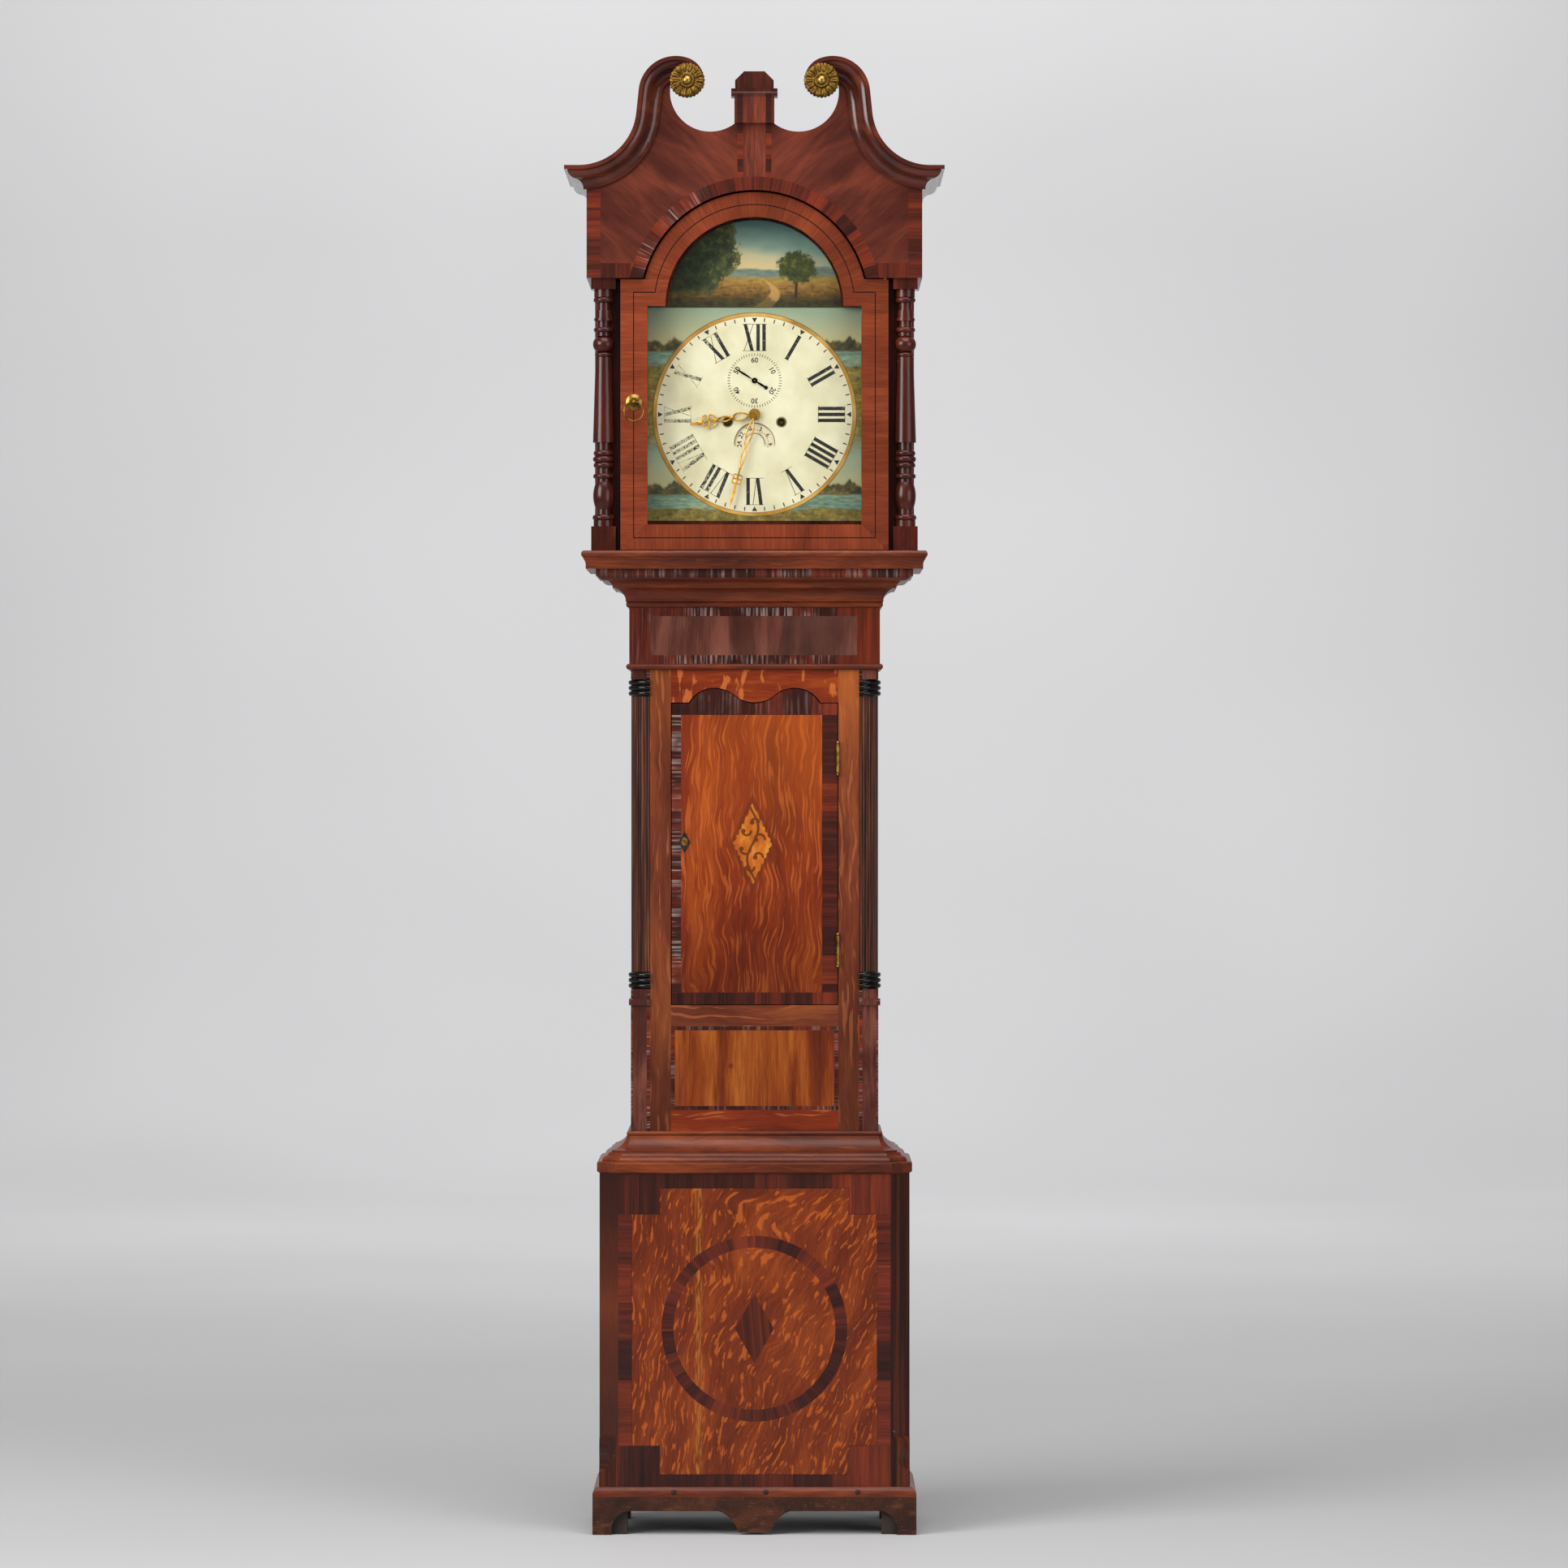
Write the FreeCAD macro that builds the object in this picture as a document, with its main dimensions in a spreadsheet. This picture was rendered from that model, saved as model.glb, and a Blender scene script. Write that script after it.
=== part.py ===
import FreeCAD, Part
import math
import os
import re
import Sketcher

# A longcase clock. X runs across the front, Y to the back, Z up, in millimetres.
# Every depth is measured forward from the back plane of the case.
sizes = {
    # boards
    "board": 18,
    "back_board": 14,
    "frame_board": 20,
    "joint_gap": 0.3,
    # plinth and base
    "plinth_height": 59,
    "plinth_board": 10,
    "plinth_cap_height": 15,
    "foot_width": 31,
    "foot_rise": 37,
    "foot_curve": 24,
    "pendant_width": 50,
    "pendant_drop": 33,
    "pendant_curve": 50,
    "foot_block": 44,
    "base_floor_height": 42,
    "base_height": 561,
    "base_step": 48.5,
    "cant": 30,
    "stop_height": 97,
    "tongue_length": 55,
    "base_moulding_height": 57,
    # trunk
    "trunk_width": 387,
    "trunk_depth": 205,
    "trunk_bead_height": 7,
    "bead_out": 7,
    "bottom_rail_height": 33,
    "lower_panel_height": 131,
    "middle_rail_height": 33,
    "door_width": 259,
    "door_height": 472,
    "door_board": 18,
    "door_gap": 1.5,
    "door_flat": 28,
    "scallop_rise": 23,
    "crest_share": 0.485,
    "top_rail_height": 53,
    "quarter_radius": 30,
    "reed_count": 9,
    "reed_depth": 2.2,
    "pedestal_cap_height": 10,
    "pedestal_cap_out": 3,
    "corner_block_height": 15,
    "ring_stack_height": 27,
    "astragal_height": 9,
    "trunk_frieze_height": 88,
    "frieze_veneer": 2.5,
    "throat_height": 50,
    "throat_out": 53.5,
    # hood
    "hood_base_height": 28,
    "hood_base_out": 7,
    "hood_width": 522,
    "hood_depth": 265,
    "hood_rail": 40,
    "hood_side_inset": 12,
    "hood_side_board": 14,
    "hood_frieze_board": 18,
    "column_height": 424,
    "column_plinth_height": 38,
    "column_cap_height": 17,
    "column_block": 38,
    "column_inset": 7,
    "shaft_radius": 16.8,
    "arch_radius": 178,
    "arch_drop": 41,
    "arch_gap": 3,
    "roof_board": 12,
    "cornice_height": 155,
    "cornice_width": 35,
    "cornice_out": 34,
    "neck_radius": 107.5,
    "neck_turn": 84,
    "neck_start": 272.6,
    "neck_straight": 36.8,
    "scroll_radius": 40.4,
    "scroll_turn": 104,
    "curl_radius": 19,
    "curl_turn": 85,
    "rosette_radius": 28,
    "rosette_shift": 10,
    "rosette_rise": 8,
    "rosette_petals": 12,
    "gap_height": 240,
    "gap_bow": 1.017,
    "pedestal_width": 62,
    "pedestal_height": 281,
    "pedestal_face": 12,
    "pedestal_cap": 12,
    "pedestal_lip": 5,
    "finial_block_width": 60,
    "finial_block_height": 27,
    "finial_chamfer": 14,
    # hood door
    "hood_door_width": 417,
    "hood_door_board": 20,
    "hood_door_setback": 6,
    "glass_width": 333,
    "glass_bottom": 41,
    "glass_height": 340,
    "glass_arch_radius": 138.5,
    "glass_thickness": 2.5,
    "glass_rebate": 6,
    "mask_board": 12,
    "mask_clearance": 3,
    "door_play": 1.5,
    "pivot_inset": 5,
    "pivot_pin": 4,
    "pivot_depth": 8,
    "hinge_rise": 86,
    "pull_height": 231,
    "pull_rose_radius": 12.5,
    "pull_ring_radius": 15,
    "pull_wire": 2.4,
    # brass pins
    "hinge_pin": 2.6,
    "hinge_barrel": 5.4,
    "hinge_length": 44,
    "pin_clearance": 0.06,
    "running_gap": 0.8,
    # movement
    "dial_centre": 215,
    "dial_depth": 206,
    "dial_sheet": 1.6,
    "dial_width": 340,
    "dial_arch_radius": 139,
    "plate_front": 180,
    "plate": 3,
    "pillar_length": 62,
    "plate_width": 172,
    "plate_height": 205,
    "plate_drop": 88,
    "pillar_radius": 5,
    "seat_board": 18,
    "winding_offset": 42,
    "winding_drop": 12,
    "winding_hole": 13,
    "seconds_rise": 53,
    "calendar_drop": 45,
    "pallet_rise": 29,
    "barrel_radius": 25,
    "barrel_length": 38,
    "arbor_radius": 2.4,
    "pivot_radius": 1.2,
    "wheel_thickness": 2.2,
    "wheel_hub": 5.2,
    "wheel_arm": 3.2,
    "rim_modules": 2.2,
    "rim_width": 1.6,
    "tooth_head": 0.85,
    "tooth_foot": 1.15,
    "leaf_head": 0.55,
    "leaf_foot": 1.4,
    "pinion_before": 1.5,
    "pinion_after": 4,
    "ratchet_teeth": 40,
    "ratchet_module": 0.9,
    "drum_end": 2,
    "square_length": 13,
    "stout_pivot": 2.4,
    "drum_arbor": 3.84,
    "tooth_share": 0.5,
    "leaf_share": 0.4,
    "great_teeth": 96,
    "centre_teeth": 60,
    "third_teeth": 56,
    "escape_teeth": 30,
    "pinion_leaves": 8,
    "escape_leaves": 7,
    "escape_radius": 19,
    "cannon_teeth": 36,
    "hour_teeth": 72,
    "hour_leaves": 6,
    "motion_reach": 25.2,
    "cannon_radius": 3,
    "hour_pipe": 1.5,
    "hand_sheet": 1.2,
    "hour_hand_rise": 3,
    "minute_hand_rise": 8,
    "minute_length": 148,
    "hour_length": 102,
    "seconds_length": 38,
    "seconds_tail": 24,
    "seconds_sheet": 0.8,
    "hand_wall": 1.3,
    "minute_turn": 195,
    "hour_turn": 261.3,
    "seconds_turn": 302,
    "calendar_radius": 36,
    "mouth_outer": 31,
    "mouth_inner": 16,
    # strike
    "strike_great_teeth": 78,
    "pin_teeth": 64,
    "pallet_teeth": 56,
    "warning_teeth": 48,
    "strike_leaves": 8,
    "upper_leaves": 7,
    "upper_module": 0.6,
    "pin_circle": 24.7,
    "lifting_pins": 8,
    "lifting_pin": 1.1,
    "pin_bearing": 103,
    "pallet_bearing": 55,
    "warning_bearing": 100,
    "fly_bearing": 60,
    "fly_radius": 12,
    "fly_length": 26,
    "fly_sheet": 0.8,
    "hammer_across": 28,
    "hammer_up": 26.8,
    "hammer_head": 16,
    "hammer_radius": 5,
    "bell_radius": 48,
    "bell_rise": 128,
    "bell_offset": 45,
    # pendulum and weights
    "pendulum_length": 994,
    "pendulum_depth": 88,
    "crutch_length": 150,
    "crutch_foot": 16,
    "cock_width": 68,
    "cock_height": 28,
    "cock_leg": 8,
    "cock_stand": 13,
    "cock_drop": 10,
    "suspension_slit": 3.6,
    "rod_radius": 2.2,
    "bob_radius": 52,
    "bob_thickness": 26,
    "weight_radius": 30,
    "weight_length": 190,
    "weight_floor": 140,
    "pulley_radius": 22,
    "line_radius": 0.8,
}

# Places that follow from the driving sizes.
places = {
    "half_depth": "(hood_depth + cornice_out + rosette_rise) / 2",
    "trunk_half": "trunk_width / 2",
    "base_half": "trunk_half + base_step",
    "base_front": "trunk_depth + base_step",
    "plinth_half": "base_half + plinth_board",
    "plinth_front": "base_front + plinth_board",
    "trunk_z": "base_height + base_moulding_height",
    "rail_z": "trunk_z + trunk_bead_height",
    "panel_z": "rail_z + bottom_rail_height",
    "middle_z": "panel_z + lower_panel_height",
    "door_z": "middle_z + middle_rail_height",
    "shoulder_z": "door_z + door_height",
    "lower_astragal_z": "shoulder_z + top_rail_height",
    "frieze_z": "lower_astragal_z + astragal_height",
    "upper_astragal_z": "frieze_z + trunk_frieze_height",
    "throat_z": "upper_astragal_z + astragal_height",
    "hood_z": "throat_z + throat_height",
    "hood_floor_z": "hood_z + hood_base_height",
    "cap_z": "hood_floor_z + column_height",
    "arch_z": "cap_z - arch_drop",
    "cornice_z": "cap_z + cornice_height",
    "roof_z": "arch_z + arch_radius + arch_gap",
    "stile_in": "door_width / 2 + door_gap",
    "corner_in": "trunk_half - quarter_radius",
    "corner_back": "trunk_depth - quarter_radius",
    "frame_back": "trunk_depth - frame_board",
    "hood_half": "hood_width / 2",
    "column_x": "hood_half - column_inset - column_block / 2",
    "column_d": "hood_depth - column_inset + 3 - column_block / 2",
    "dial_z": "hood_floor_z + dial_centre",
    "seat_z": "dial_z - plate_drop - seat_board",
    "column_back": "column_d - column_block / 2",
    "side_x": "hood_half - hood_side_inset - hood_side_board",
    "frieze_back": "hood_depth - hood_frieze_board",
    "door_front": "hood_depth - hood_door_setback",
    "door_back": "door_front - hood_door_board",
    "hood_door_half": "hood_door_width / 2",
    "hood_door_top": "cap_z - door_play",
    "glass_z": "hood_floor_z + glass_bottom",
    "glass_shoulder": "glass_z + glass_height",
    "neck_x": "neck_start - neck_radius * sin(neck_turn * 1 deg)",
    "neck_z": "cornice_z + neck_radius * (1 - cos(neck_turn * 1 deg))",
    "bend_x": "neck_x - neck_straight * cos(neck_turn * 1 deg)",
    "bend_z": "neck_z + neck_straight * sin(neck_turn * 1 deg)",
    "scroll_x": "bend_x - scroll_radius * sin(neck_turn * 1 deg)",
    "scroll_z": "bend_z - scroll_radius * cos(neck_turn * 1 deg)",
    "scroll_end": "(neck_turn - scroll_turn) * 1 deg",
    "scroll_end_x": "scroll_x + scroll_radius * sin(scroll_end)",
    "scroll_end_z": "scroll_z + scroll_radius * cos(scroll_end)",
    "curl_x": "scroll_end_x - curl_radius * sin(scroll_end)",
    "curl_z": "scroll_end_z - curl_radius * cos(scroll_end)",
    "curl_end": "(neck_turn - scroll_turn - curl_turn) * 1 deg",
    "gap_z": "cap_z + gap_height",
    "pedestal_z": "cap_z + pedestal_height",
    "plate_in": "plate_front - plate - pillar_length",
    "plate_back": "plate_in - plate",
    "barrel_z": "dial_z - winding_drop",
    "barrel_d": "plate_in + 8",
    "barrel_mid": "barrel_d + barrel_length / 2",
    "great_d": "plate_in + 2.5",
    "line_reach": "barrel_radius + line_radius",
    "line_pitch": "pulley_radius + line_radius",
    "pulley_z": "weight_floor + weight_length + pulley_radius + 18",
    "pallet_z": "dial_z + seconds_rise + pallet_rise",
    "hinge_x": "door_width / 2 + door_gap / 2",
    "hinge_d": "trunk_depth + hinge_barrel / 2 + joint_gap",
}


def expand(text):
    # Turn the names in a formula into sheet cells.
    def swap(match):
        name = match.group()
        if name in places:
            return "(" + expand(places[name]) + ")"
        if name in sizes:
            return "dims." + name
        return name
    return re.sub(r"[a-z][a-z_]*", swap, str(text))


doc = FreeCAD.newDocument("longcase_clock")
sheet = doc.addObject("Spreadsheet::Sheet", "dims")
for row, (name, number) in enumerate(sizes.items(), 1):
    sheet.set(f"A{row}", name)
    sheet.set(f"B{row}", str(number))
    sheet.setAlias(f"B{row}", name)
doc.recompute()

nodes = []


def num(text):
    # The present value of a formula.
    return float(sheet.evalExpression(expand(text)))


def forward(depth):
    # The Y place of a depth.
    return f"half_depth - ({depth})"


def finish(obj, label):
    # Name an object as one node of the clock.
    obj.Label = label
    nodes.append(obj)
    return obj


def group(label, members):
    # One node that holds several separate solids.
    compound = doc.addObject("Part::Compound", label)
    compound.Links = members
    return finish(compound, label)


def mirrored(obj):
    # The same piece on the other side of the clock's centre plane.
    copy = doc.addObject("Part::Mirroring", obj.Name + "_left")
    copy.Source = obj
    copy.Base = FreeCAD.Vector(0, 0, 0)
    copy.Normal = FreeCAD.Vector(1, 0, 0)
    return copy


def pair(label, right):
    # A right piece and its mirror image in one node.
    return group(label, [right, mirrored(right)])


def box(label, x_low, x_high, d_low, d_high, z_low, z_high):
    # A board between two places on each axis.
    board = doc.addObject("Part::Box", label)
    board.setExpression("Length", expand(f"({x_high}) - ({x_low})"))
    board.setExpression("Width", expand(f"({d_high}) - ({d_low})"))
    board.setExpression("Height", expand(f"({z_high}) - ({z_low})"))
    board.setExpression("Placement.Base.x", expand(x_low))
    board.setExpression("Placement.Base.y", expand(forward(d_high)))
    board.setExpression("Placement.Base.z", expand(z_low))
    return board


def arc_between(start, end, radius, counter):
    # The smaller arc of a radius from one point to the next.
    chord = end - start
    reach = math.sqrt(max(radius * radius - chord.Length * chord.Length / 4, 0))
    side = FreeCAD.Vector(-chord.y, chord.x, 0).normalize()
    centre = (start + end) / 2 + side * (reach if counter else -reach)
    circle = Part.Circle(centre, FreeCAD.Vector(0, 0, 1), radius)
    first, last = (start, end) if counter else (end, start)
    angles = [math.atan2(p.y - centre.y, p.x - centre.x) for p in (first, last)]
    return Part.ArcOfCircle(circle, angles[0], angles[1])


def trace(sketch, path, flip):
    # Draw one closed outline. A third entry is the radius of the arc to the next point,
    # plus for counterclockwise and minus for clockwise.
    points = [FreeCAD.Vector(num(p[0]), num(p[1]), 0) for p in path]
    ends = []
    rules = []
    formulas = []
    for index, point in enumerate(path):
        start = points[index]
        end = points[(index + 1) % len(path)]
        if len(point) > 2:
            counter = (point[2][0] == "+") != flip
            radius = point[2][1:]
            number = sketch.addGeometry(arc_between(start, end, num(radius), counter))
            rules.append(Sketcher.Constraint("Radius", number, num(radius)))
            formulas.append(radius)
            ends.append((number, 1, 2) if counter else (number, 2, 1))
        else:
            number = sketch.addGeometry(Part.LineSegment(start, end))
            ends.append((number, 1, 2))
    for index, point in enumerate(path):
        number, first, last = ends[index]
        following = ends[(index + 1) % len(path)]
        rules.append(Sketcher.Constraint("Coincident", number, last, following[0], following[1]))
        formulas.append(None)
        rules.append(Sketcher.Constraint("DistanceX", -1, 1, number, first, points[index].x))
        formulas.append(point[0])
        rules.append(Sketcher.Constraint("DistanceY", -1, 1, number, first, points[index].y))
        formulas.append(point[1])
    bind(sketch, rules, formulas)


def ring(sketch, centre, radius):
    # Draw one circle.
    place = FreeCAD.Vector(num(centre[0]), num(centre[1]), 0)
    number = sketch.addGeometry(Part.Circle(place, FreeCAD.Vector(0, 0, 1), num(radius)))
    rules = [
        Sketcher.Constraint("DistanceX", -1, 1, number, 3, place.x),
        Sketcher.Constraint("DistanceY", -1, 1, number, 3, place.y),
        Sketcher.Constraint("Radius", number, num(radius)),
    ]
    bind(sketch, rules, [centre[0], centre[1], radius])


def bind(sketch, rules, formulas):
    # Add constraints and tie each one to its formula.
    numbers = sketch.addConstraint(rules)
    for number, formula in zip(numbers, formulas):
        if formula is not None:
            sketch.setExpression(f"Constraints[{number}]", expand(formula))


def draw(body, plane, outlines, offset="0", shift="0", flip=False, circles=()):
    # A sketch on one of the body's own planes, moved along its normal.
    sketch = body.newObject("Sketcher::SketchObject", body.Name + "_sketch")
    support = [f for f in body.Origin.OriginFeatures if f.Role == plane][0]
    sketch.AttachmentSupport = [(support, "")]
    sketch.MapMode = "FlatFace"
    sketch.setExpression("AttachmentOffset.Base.z", expand(offset))
    sketch.setExpression("AttachmentOffset.Base.x", expand(shift))
    for outline in outlines:
        trace(sketch, outline, flip)
    for centre, radius in circles:
        ring(sketch, centre, radius)
    return sketch


def new_body(label):
    body = doc.addObject("PartDesign::Body", label)
    body.Label = label
    return body


def lift(body, sketch, length, kind="Pad"):
    # Raise or sink a sketch.
    feature = body.newObject("PartDesign::" + kind, body.Name + "_" + kind.lower())
    feature.Profile = sketch
    feature.setExpression("Length", expand(length))
    return feature


def front(label, outlines, d_low, d_high, circles=()):
    # A piece drawn as seen from the front, between two depths.
    body = new_body(label)
    sketch = draw(body, "XZ_Plane", outlines, f"({d_low}) - half_depth", circles=circles)
    lift(body, sketch, f"({d_high}) - ({d_low})")
    return body


def plan(label, outlines, z_low, z_high):
    # A piece drawn from above in places across and depths, between two heights.
    body = new_body(label)
    drawn = [[(p[0], forward(p[1]), *p[2:]) for p in outline] for outline in outlines]
    sketch = draw(body, "XY_Plane", drawn, z_low, flip=True)
    lift(body, sketch, f"({z_high}) - ({z_low})")
    return body


def profile(label, outlines, x_low, x_high):
    # A piece drawn from the side in depths and heights, between two places across.
    body = new_body(label)
    drawn = [[(forward(p[0]), p[1], *p[2:]) for p in outline] for outline in outlines]
    sketch = draw(body, "YZ_Plane", drawn, x_low, flip=True)
    lift(body, sketch, f"({x_high}) - ({x_low})")
    return body


def revolve(body, sketch):
    turned = body.newObject("PartDesign::Revolution", body.Name + "_turned")
    turned.Profile = sketch
    turned.ReferenceAxis = (sketch, ["V_Axis"])
    turned.Angle = 360
    return turned


def turned_up(label, x, depth, outline):
    # A turned piece that stands on end, drawn as radius and height.
    body = new_body(label)
    sketch = draw(body, "XZ_Plane", [outline], f"({depth}) - half_depth", x)
    revolve(body, sketch)
    return body


def turned_out(label, x, z, outline):
    # A turned piece whose axis points forward, drawn as radius and depth.
    body = new_body(label)
    drawn = [(p[0], forward(p[1]), *p[2:]) for p in outline]
    sketch = draw(body, "XY_Plane", [drawn], z, x, flip=True)
    revolve(body, sketch)
    return body


def place_at(obj, x, depth, z="0", turn=0):
    # Stand a piece at a place, turned about the vertical.
    spin = FreeCAD.Rotation(FreeCAD.Vector(0, 0, 1), turn)
    obj.Placement = FreeCAD.Placement(FreeCAD.Vector(0, 0, 0), spin)
    obj.setExpression("Placement.Base.x", expand(x))
    obj.setExpression("Placement.Base.y", expand(forward(depth)))
    obj.setExpression("Placement.Base.z", expand(z))
    return obj


def moulding(label, outline, wall, inner, outer, start, stop, slants, turn=0, at=("0", "0")):
    # A straight length of moulding against a wall. The outline is drawn as distance out from
    # the wall and height, and the slants give how far each end grows with that distance.
    reach = f"abs({outer}) + abs({inner})"
    bar = new_body(label + "_bar")
    drawn = [(f"-(({wall}) + ({p[0]}))", p[1], *p[2:]) for p in outline]
    sketch = draw(bar, "YZ_Plane", [drawn], f"({start}) - ({reach})", flip=True)
    lift(bar, sketch, f"({stop}) - ({start}) + 2 * ({reach})")
    ends = [
        (f"({start}) - {slants[0]} * ({inner})", f"-(({wall}) + ({inner}))"),
        (f"({stop}) + {slants[1]} * ({inner})", f"-(({wall}) + ({inner}))"),
        (f"({stop}) + {slants[1]} * ({outer})", f"-(({wall}) + ({outer}))"),
        (f"({start}) - {slants[0]} * ({outer})", f"-(({wall}) + ({outer}))"),
    ]
    low = outline[0][1]
    high = max((p[1] for p in outline), key=num)
    cut = new_body(label + "_cut")
    lift(cut, draw(cut, "XY_Plane", [ends], low), f"({high}) - ({low})")
    run = doc.addObject("Part::Common", label)
    run.Base = bar
    run.Tool = cut
    return place_at(run, at[0], at[1], "0", turn)


def surround(label, outline, half, depth, inner, outer):
    # A moulding round the front and both sides of a square case, mitred at the corners.
    face = moulding(label + "_front", outline, depth, inner, outer, f"-({half})", half, (1, 1))
    side = moulding(label + "_side", outline, half, inner, outer, f"-({depth})", "0", (1, 0), 90)
    return [face, side, mirrored(side)]


def plinth():
    # Skirting boards whose lower edges are cut away between bracket feet and a centre pendant.
    foot_in = "plinth_half - foot_width"
    pendant_top = "pendant_width / 2 + pendant_curve * 0.6"
    outline = [
        ("-plinth_half", "0"),
        (f"-({foot_in})", "0", "-foot_curve * 1.2"),
        (f"-({foot_in}) + foot_curve", "foot_rise"),
        (f"-({pendant_top})", "foot_rise", "-pendant_curve"),
        ("-pendant_width / 2", "foot_rise - pendant_drop"),
        ("pendant_width / 2", "foot_rise - pendant_drop", "-pendant_curve"),
        (pendant_top, "foot_rise"),
        (f"{foot_in} - foot_curve", "foot_rise", "-foot_curve * 1.2"),
        (foot_in, "0"),
        ("plinth_half", "0"),
        ("plinth_half", "plinth_height"),
        ("-plinth_half", "plinth_height"),
    ]
    face = front("plinth_face", [outline], "base_front", "plinth_front")
    foot_front = "base_front - foot_width"
    side_outline = [
        ("0", "0"),
        ("foot_width", "0", "+foot_curve * 1.2"),
        ("foot_width + foot_curve", "foot_rise"),
        (f"{foot_front} - foot_curve", "foot_rise", "+foot_curve * 1.2"),
        (foot_front, "0"),
        ("base_front", "0"),
        ("base_front", "plinth_height"),
        ("0", "plinth_height"),
    ]
    side = profile("plinth_side", [side_outline], "base_half", "plinth_half")
    group("plinth_skirt", [face, side, mirrored(side)])


def base():
    # A box of boards on corner blocks, with canted front corners that end in square stops.
    face_half = "base_half - cant"
    side_front = "base_front - cant"
    finish(box("base_front_panel", f"-({face_half})", face_half, "base_front - board", "base_front",
               "base_floor_height", "base_height"), "base_front_panel")
    pair("base_side_panels", box("base_side", "base_half - board", "base_half", "0", side_front,
                                 "base_floor_height", "base_height"))
    section = [
        (face_half, "base_front"),
        ("base_half", side_front),
        ("base_half - board", side_front),
        (face_half, "base_front - board"),
    ]
    post = plan("canted_post", [section], "base_floor_height", "base_height")
    stop_section = [(face_half, "base_front"), ("base_half", "base_front"), ("base_half", side_front)]
    stop = plan("post_stop", [stop_section], "base_floor_height", "stop_height + tongue_length")
    reach = "cant * 0.7072"
    tongue = new_body("tongue_cutter")
    bend = "tongue_length * 0.36"
    ogee = [
        ("0", "stop_height + tongue_length + 1"),
        ("0", "stop_height + tongue_length", f"+{bend}"),
        (f"-{reach} * 0.5", "stop_height + tongue_length * 0.5", f"-{bend}"),
        (f"-{reach}", "stop_height"),
        (f"-{reach} - cant", "stop_height"),
        (f"-{reach} - cant", "stop_height + tongue_length + 1"),
    ]
    lift(tongue, draw(tongue, "YZ_Plane", [ogee], "-cant * 2"), "cant * 4")
    place_at(tongue, "base_half - cant / 2", "base_front - cant / 2", "0", 45)
    shaped = doc.addObject("Part::Cut", "shaped_stop")
    shaped.Base = stop
    shaped.Tool = tongue
    corner = doc.addObject("Part::Fuse", "corner_post")
    corner.Base = post
    corner.Tool = shaped
    corner.Refine = True
    pair("base_corner_posts", corner)
    inner = "base_half - board"
    floor = plan("floor_board", [[
        (f"-({inner})", "back_board"),
        (inner, "back_board"),
        (inner, side_front),
        (face_half, "base_front - board"),
        (f"-({face_half})", "base_front - board"),
        (f"-({inner})", side_front),
    ]], "base_floor_height", "base_floor_height + board")
    blocks = []
    for name, d_low in (("back_block", "joint_gap"), ("front_block", "base_front - foot_block")):
        block = box(name, "base_half - foot_block", "base_half", d_low, f"{d_low} + foot_block",
                    "0", "base_floor_height")
        blocks += [block, mirrored(block)]
    group("base_floor", [floor] + blocks)


def base_mouldings():
    # The plinth capping, and the deep moulding that steps in from the base to the trunk.
    top = "plinth_height + plinth_cap_height"
    cap = [
        ("0", "plinth_height"),
        ("plinth_board", "plinth_height"),
        ("plinth_board", "plinth_height + 5", "+plinth_cap_height"),
        ("2.5", top),
        ("0", top),
    ]
    members = surround("plinth_cap", cap, "base_half", "base_front", "0", "plinth_board")
    low = "base_height"
    high = "trunk_z"
    step = "base_step"
    deep = [
        (f"-{step}", low),
        ("0", low, "+9.5"),
        ("0", f"{low} + 18"),
        ("-4", f"{low} + 18"),
        ("-4", f"{low} + 20", "+9"),
        ("-10", f"{low} + 26", "-9"),
        ("-15", f"{low} + 32"),
        ("-19", f"{low} + 32"),
        ("-19", f"{low} + 35", "-30"),
        (f"-{step} + 6", high),
        (f"-{step}", high),
    ]
    slant = 0.41421356
    inner = f"-{step}"
    outer = "4"
    face_half = "base_half - cant"
    face = moulding("deep_front", deep, "base_front", inner, outer, f"-({face_half})", face_half,
                    (slant, slant))
    side = moulding("deep_side", deep, "base_half", inner, outer, "-(base_front - cant)", "0",
                    (slant, 0), 90)
    corner = moulding("deep_cant", deep, "0", inner, outer, "-cant * 0.70710678", "cant * 0.70710678",
                      (slant, slant), 45, ("base_half - cant / 2", "base_front - cant / 2"))
    members += [face, side, mirrored(side), corner, mirrored(corner)]
    group("base_mouldings", members)


def trunk():
    # Side boards, back boards and a front frame of stiles and rails.
    pair("trunk_side_panels", box("trunk_side", "trunk_half - board", "trunk_half", "0", "corner_back",
                                  "base_height", "seat_z"))
    base_back = box("base_back", "-(base_half - board)", "base_half - board", "0", "back_board",
                    "base_floor_height", "base_height")
    trunk_back = box("trunk_back", "-(trunk_half - board)", "trunk_half - board", "0", "back_board",
                     "base_height", "roof_z - joint_gap")
    group("backboards", [base_back, trunk_back])
    stile = box("stile", "stile_in", "corner_in", "frame_back", "trunk_depth", "trunk_z",
                "lower_astragal_z")
    rail = "stile_in"
    bottom = box("bottom_rail", f"-({rail})", rail, "frame_back", "trunk_depth", "trunk_z", "panel_z")
    middle = box("middle_rail", f"-({rail})", rail, "frame_back", "trunk_depth", "middle_z", "door_z")
    top_outline = scallop("stile_in", "door_gap") + [
        ("stile_in", "lower_astragal_z"),
        ("-(stile_in)", "lower_astragal_z"),
    ]
    top = front("top_rail", [top_outline], "frame_back", "trunk_depth")
    group("trunk_frame", [stile, mirrored(stile), bottom, middle, top])
    panel_face = box("panel_face", f"-({rail})", rail, "frame_back + 4", "trunk_depth", "panel_z",
                     "middle_z")
    finish(panel_face, "lower_panel")


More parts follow.
